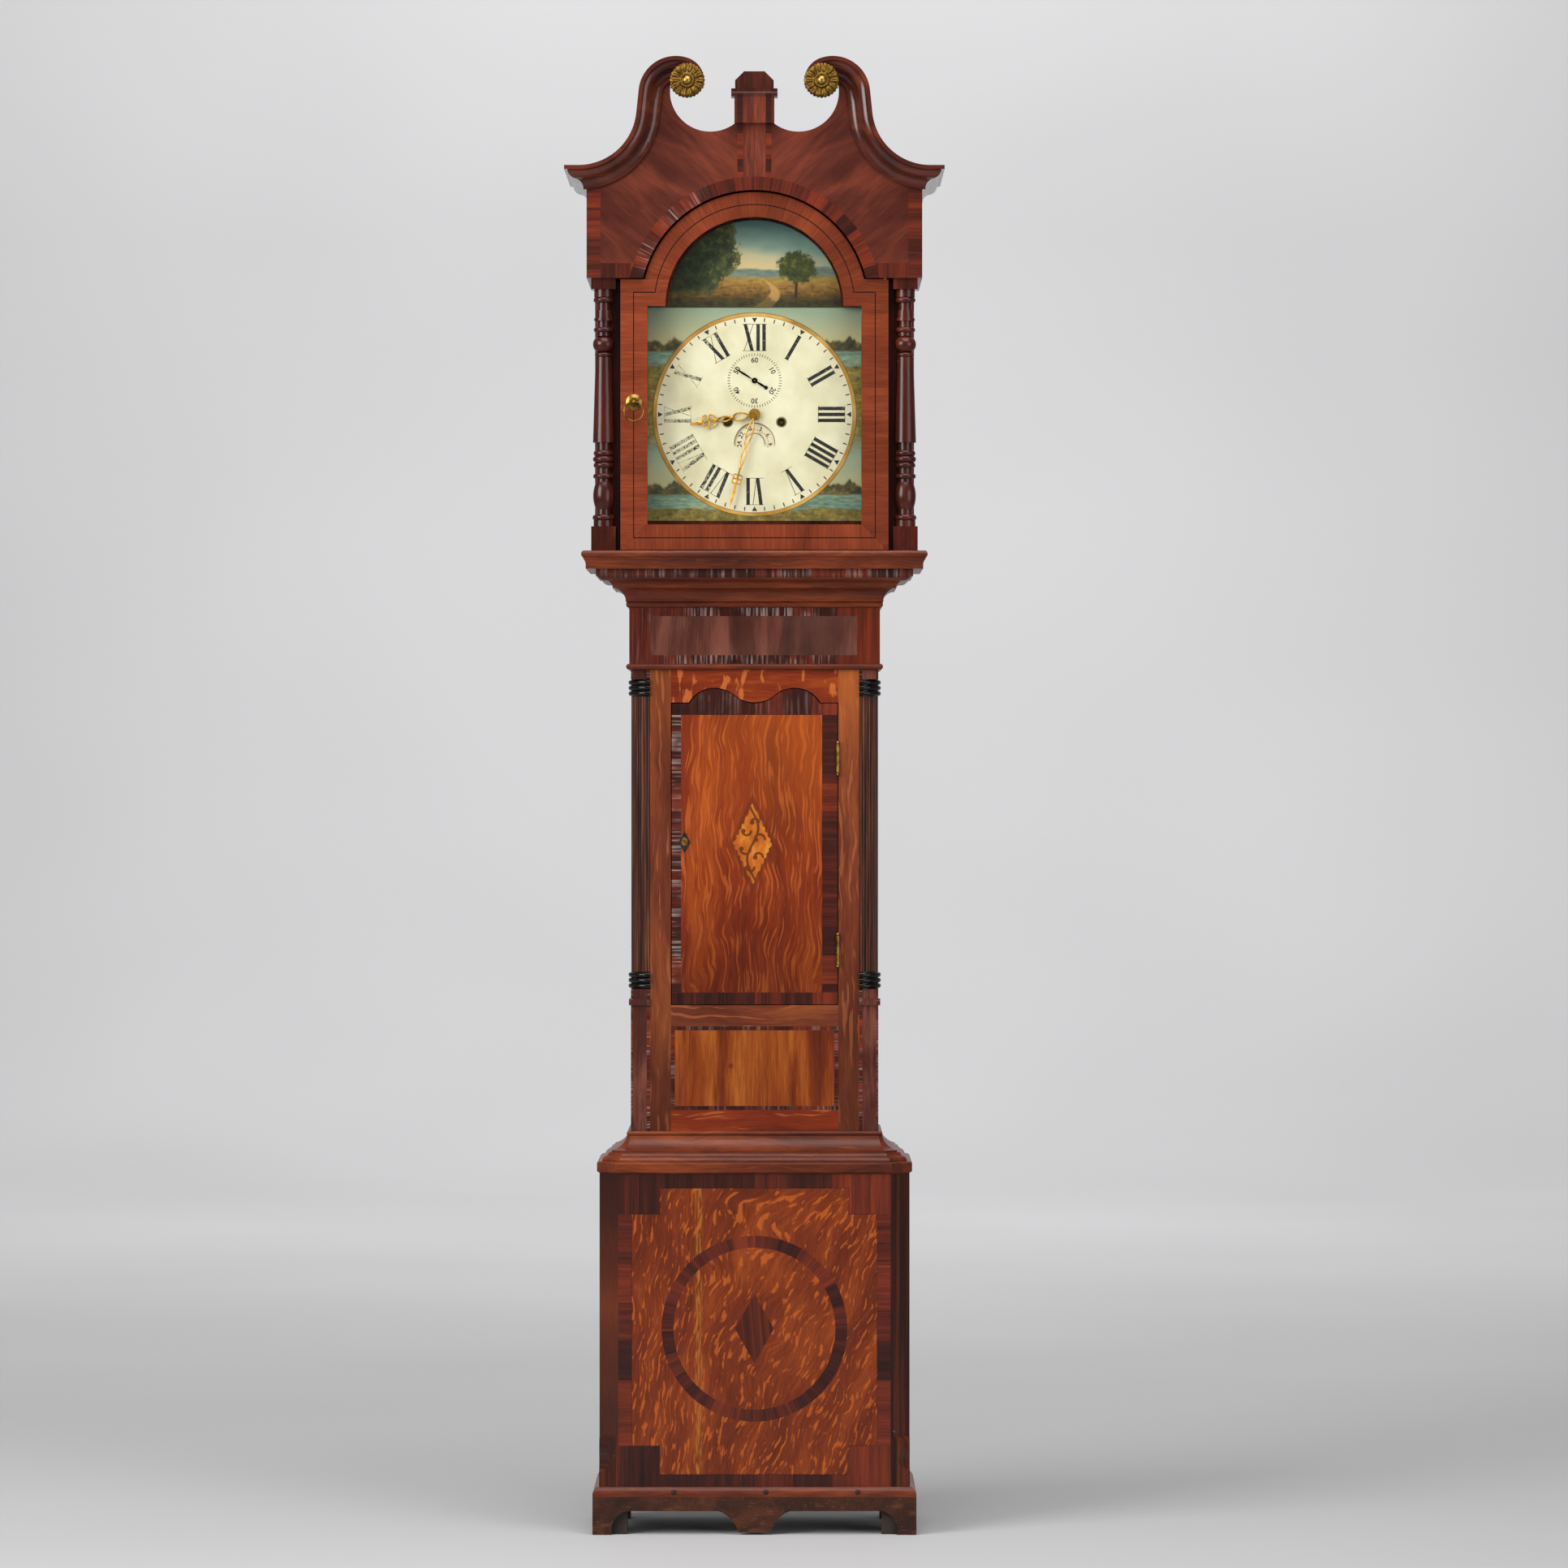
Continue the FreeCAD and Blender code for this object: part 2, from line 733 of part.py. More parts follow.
def scallop(half, rise):
    # The shaped head of the trunk door from left to right: two rounded crests with a hollow between.
    flat = f"({half}) - door_flat"
    crest_x = "door_width / 2 * crest_share"
    top = f"shoulder_z + scallop_rise + {rise}"
    low = f"shoulder_z + {rise}"
    outer = f"(({flat} - {crest_x}) ^ 2 + scallop_rise ^ 2) / (2 * scallop_rise)"
    inner = f"(({crest_x}) ^ 2 + scallop_rise ^ 2) / (4 * scallop_rise)"
    turn_x = f"{crest_x} / 2"
    turn_z = f"{low} + scallop_rise / 2"
    return [
        (f"-({half})", low),
        (f"-({flat})", low, f"-{outer}"),
        (f"-({crest_x})", top, f"-{inner}"),
        (f"-({turn_x})", turn_z, f"+{inner}"),
        ("0", low, f"+{inner}"),
        (turn_x, turn_z, f"-{inner}"),
        (crest_x, top, f"-{outer}"),
        (flat, low),
        (half, low),
    ]


def trunk_corners():
    # Square pedestals below, reeded quarter columns above, between dark turned rings.
    pedestal = box("pedestal", "corner_in", "trunk_half", "corner_back", "trunk_depth", "trunk_z",
                   "door_z")
    out = "pedestal_cap_out"
    cap_outline = [
        ("corner_in", "corner_back"),
        (f"trunk_half + {out}", "corner_back"),
        (f"trunk_half + {out}", f"trunk_depth + {out}"),
        ("corner_in", f"trunk_depth + {out}"),
    ]
    cap = plan("pedestal_cap_block", [cap_outline], "door_z", "door_z + pedestal_cap_height")
    low = "door_z + pedestal_cap_height"
    high = "lower_astragal_z"
    foot = box("foot_of_column", "corner_in", "trunk_half", "corner_back", "trunk_depth", low,
               f"{low} + corner_block_height")
    head = box("head_of_column", "corner_in", "trunk_half", "corner_back", "trunk_depth",
               f"{high} - corner_block_height", high)
    members = []
    for piece in (pedestal, cap, foot, head):
        members += [piece, mirrored(piece)]
    group("trunk_pedestals", members)
    shaft_low = f"{low} + corner_block_height + ring_stack_height"
    shaft_high = f"{high} - corner_block_height - ring_stack_height"
    shaft = doc.addObject("Part::Feature", "reeded_shaft")
    shaft.Shape = reeded_quarter(num(shaft_high) - num(shaft_low))
    shaft.Placement = FreeCAD.Placement(
        FreeCAD.Vector(num("corner_in"), num(forward("corner_back")), num(shaft_low)),
        FreeCAD.Rotation())
    pair("quarter_columns", shaft)
    rings = []
    for name, start in (("base_rings", f"{low} + corner_block_height"), ("head_rings", shaft_high)):
        stack = ring_stack(name, start)
        rings += [stack, mirrored(stack)]
    group("column_rings", rings)


def reeded_quarter(length):
    # A quarter of a round shaft whose face is worked into half-round reeds.
    radius = num("quarter_radius") - num("reed_depth")
    count = int(num("reed_count"))
    corner = FreeCAD.Vector(0, 0, 0)
    points = []
    for index in range(count + 1):
        angle = math.pi / 2 * index / count
        points.append(FreeCAD.Vector(radius * math.cos(angle), -radius * math.sin(angle), 0))
    edges = [Part.makeLine(corner, points[0])]
    for index in range(count):
        angle = math.pi / 2 * (index + 0.5) / count
        crest = FreeCAD.Vector(math.cos(angle), -math.sin(angle), 0) * num("quarter_radius - joint_gap")
        edges.append(Part.Arc(points[index], crest, points[index + 1]).toShape())
    edges.append(Part.makeLine(points[-1], corner))
    return Part.Face(Part.Wire(edges)).extrude(FreeCAD.Vector(0, 0, length))


def ring_stack(label, start):
    # Turned rings at the end of a quarter column, cut to the quarter that shows.
    height = "ring_stack_height"
    wide = "quarter_radius + 2"
    neck = "quarter_radius - 3"
    outline = [("0", start), (neck, start)]
    for index in range(3):
        low = f"{start} + {height} * ({0.04 + 0.32 * index})"
        high = f"{start} + {height} * ({0.32 + 0.32 * index})"
        outline += [(neck, low), (wide, low, f"+{height} * 0.15"), (wide, high), (neck, high)]
    outline += [(neck, f"{start} + {height}"), ("0", f"{start} + {height}")]
    whole = turned_up(label + "_whole", "corner_in", "corner_back", outline)
    quarter = box(label + "_quarter", "corner_in", "trunk_half + 10", "corner_back", "trunk_depth + 10",
                  start, f"{start} + {height}")
    cut = doc.addObject("Part::Common", label)
    cut.Base = whole
    cut.Tool = quarter
    return cut


def trunk_head():
    # The frieze between two beads, and the throat moulding that carries the hood.
    half = "trunk_half + frieze_veneer"
    depth = "trunk_depth + frieze_veneer"
    face = box("frieze_face", f"-({half})", half, "frame_back", depth, "frieze_z", "upper_astragal_z")
    side = box("frieze_side", "trunk_half", half, "0", "frame_back", "frieze_z", "upper_astragal_z")
    backing = box("throat_backing", "-(trunk_half)", "trunk_half", "frame_back", "trunk_depth",
                  "upper_astragal_z", "hood_z")
    group("trunk_frieze", [face, side, mirrored(side), backing])
    members = []
    bands = (
        ("trunk_bead", "trunk_z", "trunk_bead_height", "bead_out"),
        ("lower_astragal", "lower_astragal_z", "astragal_height", "bead_out + 1"),
        ("upper_astragal", "upper_astragal_z", "astragal_height", "bead_out + 1"),
    )
    for name, low, height, out in bands:
        bead = [
            ("0", low),
            (f"{out} - {height} / 2", low, f"+{height} / 2 + 0.05"),
            (f"{out} - {height} / 2", f"{low} + {height}"),
            ("0", f"{low} + {height}"),
        ]
        members += surround(name, bead, "trunk_half", "trunk_depth", "0", out)
    low = "throat_z"
    top = "hood_z"
    out = "throat_out"
    throat = [
        ("0", low),
        ("8", low),
        ("8", f"{low} + 4", "-24"),
        ("24", f"{low} + 21"),
        ("28", f"{low} + 21"),
        ("28", f"{low} + 24", "-14"),
        ("36", f"{low} + 32", "+14"),
        (f"{out} - 3", f"{low} + 39"),
        (out, f"{low} + 39"),
        (out, top),
        ("0", top),
    ]
    members += surround("throat", throat, "trunk_half", "trunk_depth", "0", out)
    group("trunk_mouldings", members)
    seat = plan("seatboard", [[
        ("-trunk_half", "plate_back - 6"),
        ("trunk_half", "plate_back - 6"),
        ("trunk_half", "plate_front + 6"),
        ("-trunk_half", "plate_front + 6"),
    ]], "seat_z", "seat_z + seat_board")
    holes = draw(seat, "XY_Plane", [], "seat_z", circles=[
        (("winding_offset - line_reach", forward("barrel_mid")), "line_radius + 4"),
        (("-winding_offset - line_reach", forward("barrel_mid")), "line_radius + 4"),
    ])
    drilled = lift(seat, holes, "seat_board", "Pocket")
    drilled.Reversed = True
    finish(seat, "seatboard")


def cylinder(label, x, depth, z_low, z_high, radius):
    # An upright round bar.
    bar = doc.addObject("Part::Cylinder", label)
    bar.setExpression("Radius", expand(radius))
    bar.setExpression("Height", expand(f"({z_high}) - ({z_low})"))
    bar.setExpression("Placement.Base.x", expand(x))
    bar.setExpression("Placement.Base.y", expand(forward(depth)))
    bar.setExpression("Placement.Base.z", expand(z_low))
    return bar


def joined(label, members):
    # Several overlapping shapes as one solid.
    fused = doc.addObject("Part::MultiFuse", label)
    fused.Shapes = members
    fused.Refine = True
    return fused


def cut(label, base, tool):
    rest = doc.addObject("Part::Cut", label)
    rest.Base = base
    rest.Tool = tool
    return rest


def trunk_door():
    # A flat door with a scalloped head, hung on two brass pin hinges.
    half = "door_width / 2"
    outline = scallop(half, "0") + [(half, "door_z + door_gap"), (f"-{half}", "door_z + door_gap")]
    finish(front("trunk_door", [outline], "trunk_depth - door_board", "trunk_depth"), "trunk_door")
    fixed = []
    swinging = []
    third = "hinge_length / 3"
    leaf = "door_gap / 3"
    heights = ("door_z + hinge_rise", "shoulder_z - hinge_rise")
    for name, middle in zip(("low", "high"), heights):
        bottom = f"{middle} - hinge_length / 2"
        top = f"{middle} + hinge_length / 2"
        parts = [
            cylinder(name + "_pin", "hinge_x", "hinge_d", f"{bottom} - 2", f"{top} + 2", "hinge_pin / 2"),
            cylinder(name + "_lower_knuckle", "hinge_x", "hinge_d", bottom, f"{bottom} + {third}",
                     "hinge_barrel / 2"),
            cylinder(name + "_upper_knuckle", "hinge_x", "hinge_d", f"{top} - {third}", top,
                     "hinge_barrel / 2"),
        ]
        for end, place in (("bottom", f"{bottom} - 3"), ("top", f"{top} + 3")):
            ball = doc.addObject("Part::Sphere", f"{name}_{end}_ball")
            ball.setExpression("Radius", expand("hinge_barrel * 0.5"))
            ball.setExpression("Placement.Base.x", expand("hinge_x"))
            ball.setExpression("Placement.Base.y", expand(forward("hinge_d")))
            ball.setExpression("Placement.Base.z", expand(place))
            parts.append(ball)
        for end, low in (("lower", bottom), ("upper", f"{top} - {third}")):
            parts.append(box(f"{name}_{end}_leaf", f"stile_in - {leaf}", "stile_in", "frame_back + 4",
                             "hinge_d - hinge_pin / 2 - 0.4", low, f"{low} + {third}"))
        fixed.append(joined(name + "_fixed_hinge", parts))
        low = f"{bottom} + {third} + joint_gap"
        high = f"{top} - {third} - joint_gap"
        knuckle = cylinder(name + "_door_knuckle", "hinge_x", "hinge_d", low, high, "hinge_barrel / 2")
        plate = box(name + "_door_leaf", half, f"{half} + {leaf}", "frame_back + 4",
                    "hinge_d - hinge_pin / 2 - 0.4", low, high)
        bore = cylinder(name + "_bore", "hinge_x", "hinge_d", low, high, "hinge_pin / 2 + pin_clearance")
        swinging.append(cut(name + "_door_hinge", joined(name + "_door_plate", [knuckle, plate]), bore))
    group("trunk_hinges", fixed)
    group("trunk_door_hinges", swinging)
    lock_x = f"-{half} + 20"
    lock_z = "door_z + door_height * 0.54"
    kite = [
        (f"{lock_x} - 9", lock_z),
        (lock_x, f"{lock_z} - 17"),
        (f"{lock_x} + 9", lock_z),
        (lock_x, f"{lock_z} + 17"),
    ]
    plate = front("trunk_escutcheon", [kite], "trunk_depth", "trunk_depth + 0.8",
                  circles=[((lock_x, f"{lock_z} + 1"), "2.6")])
    case = box("trunk_lock_case", f"{lock_x} - 14", f"{lock_x} + 26", "trunk_depth - door_board - 12",
               "trunk_depth - door_board", f"{lock_z} - 24", f"{lock_z} + 24")
    group("trunk_lock", [plate, case])


def hood_case():
    # An open-backed box that slides forward off the trunk.
    low = "hood_z"
    high = "hood_floor_z"
    rail = box("hood_rail_front", "-hood_half", "hood_half", "hood_depth - hood_rail", "hood_depth", low,
               high)
    runner = box("hood_runner", "hood_half - hood_rail", "hood_half", "0", "hood_depth - hood_rail", low,
                 high)
    out = "hood_base_out"
    band = [
        ("0", low),
        ("1.5", low),
        ("1.5", f"{low} + 4", "-14"),
        (f"{out} - 2", f"{high} - 13"),
        (f"{out} - 2", f"{high} - 11", "+6.2"),
        (f"{out} - 2", high),
        ("0", high),
    ]
    members = [rail, runner, mirrored(runner)]
    members += surround("hood_band", band, "hood_half", "hood_depth", "0", f"{out} + 3")
    group("hood_base", members)
    side = box("hood_side", "side_x", "side_x + hood_side_board", "0", "column_back", high, "cap_z")
    upper = box("hood_upper_side", "hood_half - hood_side_board", "hood_half", "0", "frieze_back", "cap_z",
                "cornice_z")
    roof = box("roof", "-(hood_half - hood_side_board)", "hood_half - hood_side_board", "0", "frieze_back",
               "roof_z", "roof_z + roof_board")
    group("hood_carcass", [side, mirrored(side), upper, mirrored(upper), roof])
    opening = "dial_width / 2 - mask_clearance"
    arch = "dial_arch_radius - mask_clearance"
    sill = "dial_z - dial_width / 2 + mask_clearance"
    shoulder = "dial_z + dial_width / 2 - mask_clearance"
    outer = [("-side_x", high), ("side_x", high), ("side_x", "roof_z"), ("-side_x", "roof_z")]
    mask = front("hood_mask", [outer, break_arch(opening, sill, shoulder, arch)],
                 "column_back - mask_board", "column_back")
    finish(mask, "hood_mask")


def break_arch(half, sill, shoulder, radius):
    # A square-shouldered opening with a round head.
    return [
        (f"-({half})", sill),
        (half, sill),
        (half, shoulder),
        (radius, shoulder, f"+{radius}"),
        ("0", f"{shoulder} + {radius}", f"+{radius}"),
        (f"-({radius})", shoulder),
        (f"-({half})", shoulder),
    ]


# The turnings of a hood column from the foot up: kind, height and radius. The shaft takes the rest.
turnings = [
    ("band", 9.5, 14.9), ("torus", 9, 16.4), ("band", 8.5, 10.4), ("vase", 42, 11.4),
    ("band", 5.5, 10.4), ("torus", 8, 15.5), ("band", 8.5, 10.4), ("torus", 9.3, 14.9),
    ("torus", 9.3, 15.8), ("torus", 9.3, 14.9), ("band", 12, 10.7), ("shaft", 0, 15.8),
    ("torus", 7, 13), ("torus", 26, 15.8), ("band", 5.5, 10.4), ("torus", 8, 14.6),
    ("band", 10, 9.5), ("band", 4, 14), ("band", 12, 12), ("band", 12, 9.8), ("torus", 9, 15),
    ("band", 11.5, 14),
]


def hood_columns():
    # Turned columns that stand free on square blocks at the front corners.
    foot = "hood_floor_z + column_plinth_height"
    fixed = sum(height for kind, height, radius in turnings)
    shaft = f"(cap_z - column_cap_height - ({foot}) - {fixed})"
    outline = [("0", foot)]
    level = foot
    for kind, height, radius in turnings:
        wide = f"{radius / 15.8} * shaft_radius"
        tall = shaft if kind == "shaft" else str(height)
        top = f"{level} + {tall}"
        if kind == "torus":
            waist = f"{wide} - {0.321 * height}"
            outline += [(waist, level, f"+{0.55 * height}"), (waist, top)]
        elif kind == "vase":
            outline += [(wide, level, "+52"), (wide, top)]
        elif kind == "shaft":
            outline += [(wide, level), (f"{wide} * 0.76", top)]
        else:
            outline += [(wide, level), (wide, top)]
        level = top
    outline.append(("0", level))
    pair("hood_columns", turned_up("hood_column", "column_x", "column_d", outline))
    half = "column_block / 2"
    members = []
    for name, low, high in (("column_plinth", "hood_floor_z", foot),
                            ("column_capital", "cap_z - column_cap_height", "cap_z")):
        block = box(name, f"column_x - {half}", f"column_x + {half}", f"column_d - {half}",
                    f"column_d + {half}", low, high)
        members += [block, mirrored(block)]
    group("column_blocks", members)


def pediment():
    # The arched frieze board cut to the swan necks, with a pedestal between them.
    arch_x = "sqrt(arch_radius ^ 2 - arch_drop ^ 2)"
    side = "pedestal_width / 2"
    edge_z = "cornice_z + neck_radius - sqrt(neck_radius ^ 2 - (neck_start - hood_half) ^ 2)"
    top_z = "scroll_z + scroll_radius"
    bow = f"sqrt((scroll_x - {side}) ^ 2 + ({top_z} - gap_z) ^ 2) / 2 * gap_bow"
    outline = [
        ("-hood_half", "cap_z"),
        (f"-{arch_x}", "cap_z", "-arch_radius"),
        (arch_x, "cap_z"),
        ("hood_half", "cap_z"),
        ("hood_half", edge_z, "-neck_radius"),
        ("neck_x", "neck_z"),
        ("bend_x", "bend_z", "+scroll_radius"),
        ("scroll_x", top_z, f"-{bow}"),
        (side, "gap_z"),
        (side, "pedestal_z"),
        (f"-{side}", "pedestal_z"),
        (f"-{side}", "gap_z", f"-{bow}"),
        ("-(scroll_x)", top_z, "+scroll_radius"),
        ("-(bend_x)", "bend_z"),
        ("-(neck_x)", "neck_z", "-neck_radius"),
        ("-hood_half", edge_z),
    ]
    board = front("frieze_board", [outline], "frieze_back", "hood_depth")
    face = box("pedestal_block", f"-{side}", side, "hood_depth", "hood_depth + pedestal_face",
               "gap_z", "pedestal_z")
    cap_half = f"{side} + pedestal_lip"
    cap = [
        ("hood_depth + pedestal_face", "pedestal_z"),
        ("hood_depth + pedestal_face + pedestal_lip", "pedestal_z + pedestal_lip", "-pedestal_lip * 1.6"),
        ("hood_depth + pedestal_face + pedestal_lip", "pedestal_z + pedestal_cap"),
        ("frieze_back - pedestal_lip", "pedestal_z + pedestal_cap"),
        ("frieze_back - pedestal_lip", "pedestal_z + pedestal_lip"),
        ("frieze_back", "pedestal_z"),
    ]
    moulded = profile("pedestal_cap_block_top", [cap], f"-({cap_half})", cap_half)
    top_half = "finial_block_width / 2"
    low = "pedestal_z + pedestal_cap"
    high = f"{low} + finial_block_height"
    block = front("finial_block", [[
        (f"-{top_half}", low),
        (top_half, low),
        (top_half, f"{high} - finial_chamfer"),
        (f"{top_half} - finial_chamfer", high),
        (f"-{top_half} + finial_chamfer", high),
        (f"-{top_half}", f"{high} - finial_chamfer"),
    ]], "frieze_back", "hood_depth + pedestal_face")
    group("hood_pediment", [board, face, moulded, block])


def cornice_section(wall, low):
    # The cyma section of the cornice, as distance forward of a wall and height.
    width = "cornice_width"
    out = "cornice_out"
    bend = f"{width} * 0.42"
    return [
        (wall, f"{low} - {width} / 2"),
        (f"{wall} + 5", f"{low} - {width} / 2"),
        (f"{wall} + 5", f"{low} - {width} * 0.4", f"-{bend}"),
        (f"{wall} + {out} * 0.5", f"{low} - {width} * 0.05", f"+{bend}"),
        (f"{wall} + {out} * 0.85", f"{low} + {width} * 0.26"),
        (f"{wall} + {out} * 0.85", f"{low} + {width} * 0.32"),
        (f"{wall} + {out}", f"{low} + {width} * 0.32"),
        (f"{wall} + {out}", f"{low} + {width} / 2"),
        (wall, f"{low} + {width} / 2"),
    ]


def swan_necks():
    # A cyma moulding swept along each S-shaped neck and returned along the sides of the hood.
    body = new_body("swan_neck")
    section = cornice_section("hood_depth", "cornice_z")
    drawn = [(forward(p[0]), p[1], *p[2:]) for p in section]
    section_sketch = draw(body, "YZ_Plane", [drawn], "-(hood_half + cornice_out + 1)", flip=True)
    path = draw(body, "XZ_Plane", [], "hood_depth - half_depth")
    follow(path)
    neck = body.newObject("PartDesign::AdditivePipe", "neck_pipe")
    neck.Profile = section_sketch
    neck.Spine = (path, ["Edge1", "Edge2", "Edge3", "Edge4", "Edge5"])
    mitre_reach = "cornice_out + 20"
    wedge = [
        ("-hood_half", "hood_depth"),
        (f"-(hood_half + {mitre_reach})", "hood_depth"),
        (f"-(hood_half + {mitre_reach})", f"hood_depth + {mitre_reach}"),
    ]
    mitre = plan("neck_mitre", [wedge], "cornice_z - cornice_width", "cornice_z + cornice_width")
    neck_cut = cut("neck_cut", body, mitre)
    section = cornice_section("0", "cornice_z")
    side = moulding("cornice_side", section, "hood_half", "0", "cornice_out", "-hood_depth", "0", (1, 0), 90)
    group("swan_necks", [neck_cut, mirrored(neck_cut), side, mirrored(side)])


def follow(sketch):
    # The centre line of the left swan neck: a level run, a rising bend, a straight and a tightening scroll.
    def at(x, z):
        return FreeCAD.Vector(num(x), num(z), 0)
    stops = [
        ("-(hood_half + cornice_out + 1)", "cornice_z"),
        ("-neck_start", "cornice_z"),
        ("-(neck_x)", "neck_z"),
        ("-(bend_x)", "bend_z"),
        ("-(scroll_end_x)", "scroll_end_z"),
        ("-(curl_x + curl_radius * sin(curl_end))", "curl_z + curl_radius * cos(curl_end)"),
    ]
    spots = [at(x, z) for x, z in stops]
    bends = (None, ("neck_radius", True), None, ("scroll_radius", False), ("curl_radius", False))
    rules = []
    formulas = []
    ends = []
    for index, bend in enumerate(bends):
        start = spots[index]
        end = spots[index + 1]
        if bend is None:
            number = sketch.addGeometry(Part.LineSegment(start, end))
            ends.append((number, 1, 2))
        else:
            radius, counter = bend
            number = sketch.addGeometry(arc_between(start, end, num(radius), counter))
            ends.append((number, 1, 2) if counter else (number, 2, 1))
            rules.append(Sketcher.Constraint("Radius", number, num(radius)))
            formulas.append(radius)
    for index, (number, first, last) in enumerate(ends):
        if index:
            before = ends[index - 1]
            rules.append(Sketcher.Constraint("Coincident", before[0], before[2], number, first))
            formulas.append(None)
        places_here = [(first, index)]
        if index == len(bends) - 1:
            places_here.append((last, index + 1))
        for corner, spot in places_here:
            rules.append(Sketcher.Constraint("DistanceX", -1, 1, number, corner, spots[spot].x))
            formulas.append(stops[spot][0])
            rules.append(Sketcher.Constraint("DistanceY", -1, 1, number, corner, spots[spot].y))
            formulas.append(stops[spot][1])
    bind(sketch, rules, formulas)


def rosettes():
    # Cast roundels of petals round a beaded boss, on the eyes of the scrolls.
    front_d = "hood_depth + cornice_out"
    x = "curl_x - rosette_shift"
    z = "curl_z"
    disc = turned_out("rosette_disc", x, z, [
        ("0", front_d),
        ("rosette_radius - 3", front_d),
        ("rosette_radius - 3", f"{front_d} + rosette_rise * 0.3"),
        ("rosette_radius * 0.45", f"{front_d} + rosette_rise * 0.45"),
        ("rosette_radius * 0.4", f"{front_d} + rosette_rise * 0.8", "+rosette_radius * 0.6"),
        ("0", f"{front_d} + rosette_rise"),
    ])
    petals = []
    count = int(num("rosette_petals"))
    reach = num("rosette_radius")
    for index in range(count):
        angle = 2 * math.pi * index / count
        petal = Part.makeSphere(reach * 0.26)
        squash = FreeCAD.Matrix()
        squash.scale(1.25, 0.55, 0.8)
        petal = petal.transformGeometry(squash)
        petal.Placement = FreeCAD.Placement(
            FreeCAD.Vector(reach * 0.68 * math.cos(angle), 0, reach * 0.68 * math.sin(angle)),
            FreeCAD.Rotation(FreeCAD.Vector(0, 1, 0), -math.degrees(angle)))
        petals.append(petal)
    flower = petals[0].multiFuse(petals[1:])
    half_space = Part.makeBox(reach * 4, reach, reach * 4, FreeCAD.Vector(-reach * 2, -reach, -reach * 2))
    ring_of_petals = doc.addObject("Part::Feature", "rosette_ring")
    ring_of_petals.Shape = flower.common(half_space)
    ring_of_petals.Placement = FreeCAD.Placement(
        FreeCAD.Vector(num(x), num(forward(front_d)), num(z)), FreeCAD.Rotation())
    pair("rosettes", joined("rosette", [disc, ring_of_petals]))


def hood_door():
    # A glazed door that turns on pins at its right-hand corners.
    bottom = "hood_floor_z + door_play"
    radius = "(arch_radius - arch_gap)"
    head_x = f"sqrt({radius} ^ 2 - (hood_door_top - arch_z) ^ 2)"
    outer = [
        ("-hood_door_half", bottom),
        ("hood_door_half", bottom),
        ("hood_door_half", "hood_door_top"),
        (head_x, "hood_door_top", f"+{radius}"),
        (f"-{head_x}", "hood_door_top"),
        ("-hood_door_half", "hood_door_top"),
    ]
    half = "glass_width / 2"
    opening = break_arch(half, "glass_z", "glass_shoulder", "glass_arch_radius")
    frame = front("door_frame", [outer, opening], "door_back", "door_front")
    seat = "glass_rebate"
    rebate = break_arch(f"{half} + {seat}", f"glass_z - {seat}", f"glass_shoulder + {seat}",
                        f"glass_arch_radius + {seat}")
    back = draw(frame, "XZ_Plane", [rebate], "door_back - half_depth")
    sink = lift(frame, back, "hood_door_board * 0.55", "Pocket")
    sink.Reversed = True
    pin_x = "hood_door_half - pivot_inset"
    pin_d = "door_front - pivot_inset"
    bore = "pivot_pin / 2 + pin_clearance"
    low_bore = cylinder("low_pivot_bore", pin_x, pin_d, bottom, f"{bottom} + pivot_depth", bore)
    high_bore = cylinder("high_pivot_bore", pin_x, pin_d, "hood_door_top - pivot_depth", "hood_door_top",
                         bore)
    drilled = cut("door_frame_low_bore", frame, low_bore)
    finish(cut("hood_door_frame", drilled, high_bore), "hood_door_frame")
    inset = f"({seat} - joint_gap)"
    pane = break_arch(f"{half} + {inset}", f"glass_z - {inset}", f"glass_shoulder + {inset}",
                      f"glass_arch_radius + {inset}")
    pane_front = "door_back + hood_door_board * 0.55"
    finish(front("hood_door_glass", [pane], f"{pane_front} - glass_thickness", pane_front),
           "hood_door_glass")
    low_pin = cylinder("low_pivot", pin_x, pin_d, "hood_floor_z",
                       f"{bottom} + pivot_depth - joint_gap", "pivot_pin / 2")
    high_pin = cylinder("high_pivot", pin_x, pin_d, "hood_door_top - pivot_depth + joint_gap", "cap_z",
                        "pivot_pin / 2")
    group("hood_pivots", [low_pin, high_pin])
    pull_x = "-(glass_width / 2 + hood_door_half) / 2"
    pull_z = "hood_floor_z + pull_height"
    rose = turned_out("pull_rose_disc", pull_x, pull_z, [
        ("0", "door_front"),
        ("pull_rose_radius", "door_front"),
        ("pull_rose_radius", "door_front + 1"),
        ("pull_rose_radius * 0.6", "door_front + 3"),
        ("4", "door_front + 3.5"),
        ("3.4", "door_front + 12", "+3.6"),
        ("0", "door_front + 15"),
    ])
    eye = turned_side("pull_eye", pull_x, "door_front + 9", pull_z, "pull_wire / 2 + running_gap", "4")
    finish(cut("pull_rose", rose, eye), "pull_rose")
    loop = doc.addObject("Part::Torus", "pull_loop")
    loop.setExpression("Radius1", expand("pull_ring_radius"))
    loop.setExpression("Radius2", expand("pull_wire / 2"))
    loop.Placement = FreeCAD.Placement(FreeCAD.Vector(0, 0, 0),
                                       FreeCAD.Rotation(FreeCAD.Vector(1, 0, 0), 90))
    loop.setExpression("Placement.Base.x", expand(pull_x))
    loop.setExpression("Placement.Base.y", expand(forward("door_front + 9")))
    loop.setExpression("Placement.Base.z", expand(f"{pull_z} - pull_ring_radius"))
    finish(loop, "pull_ring")


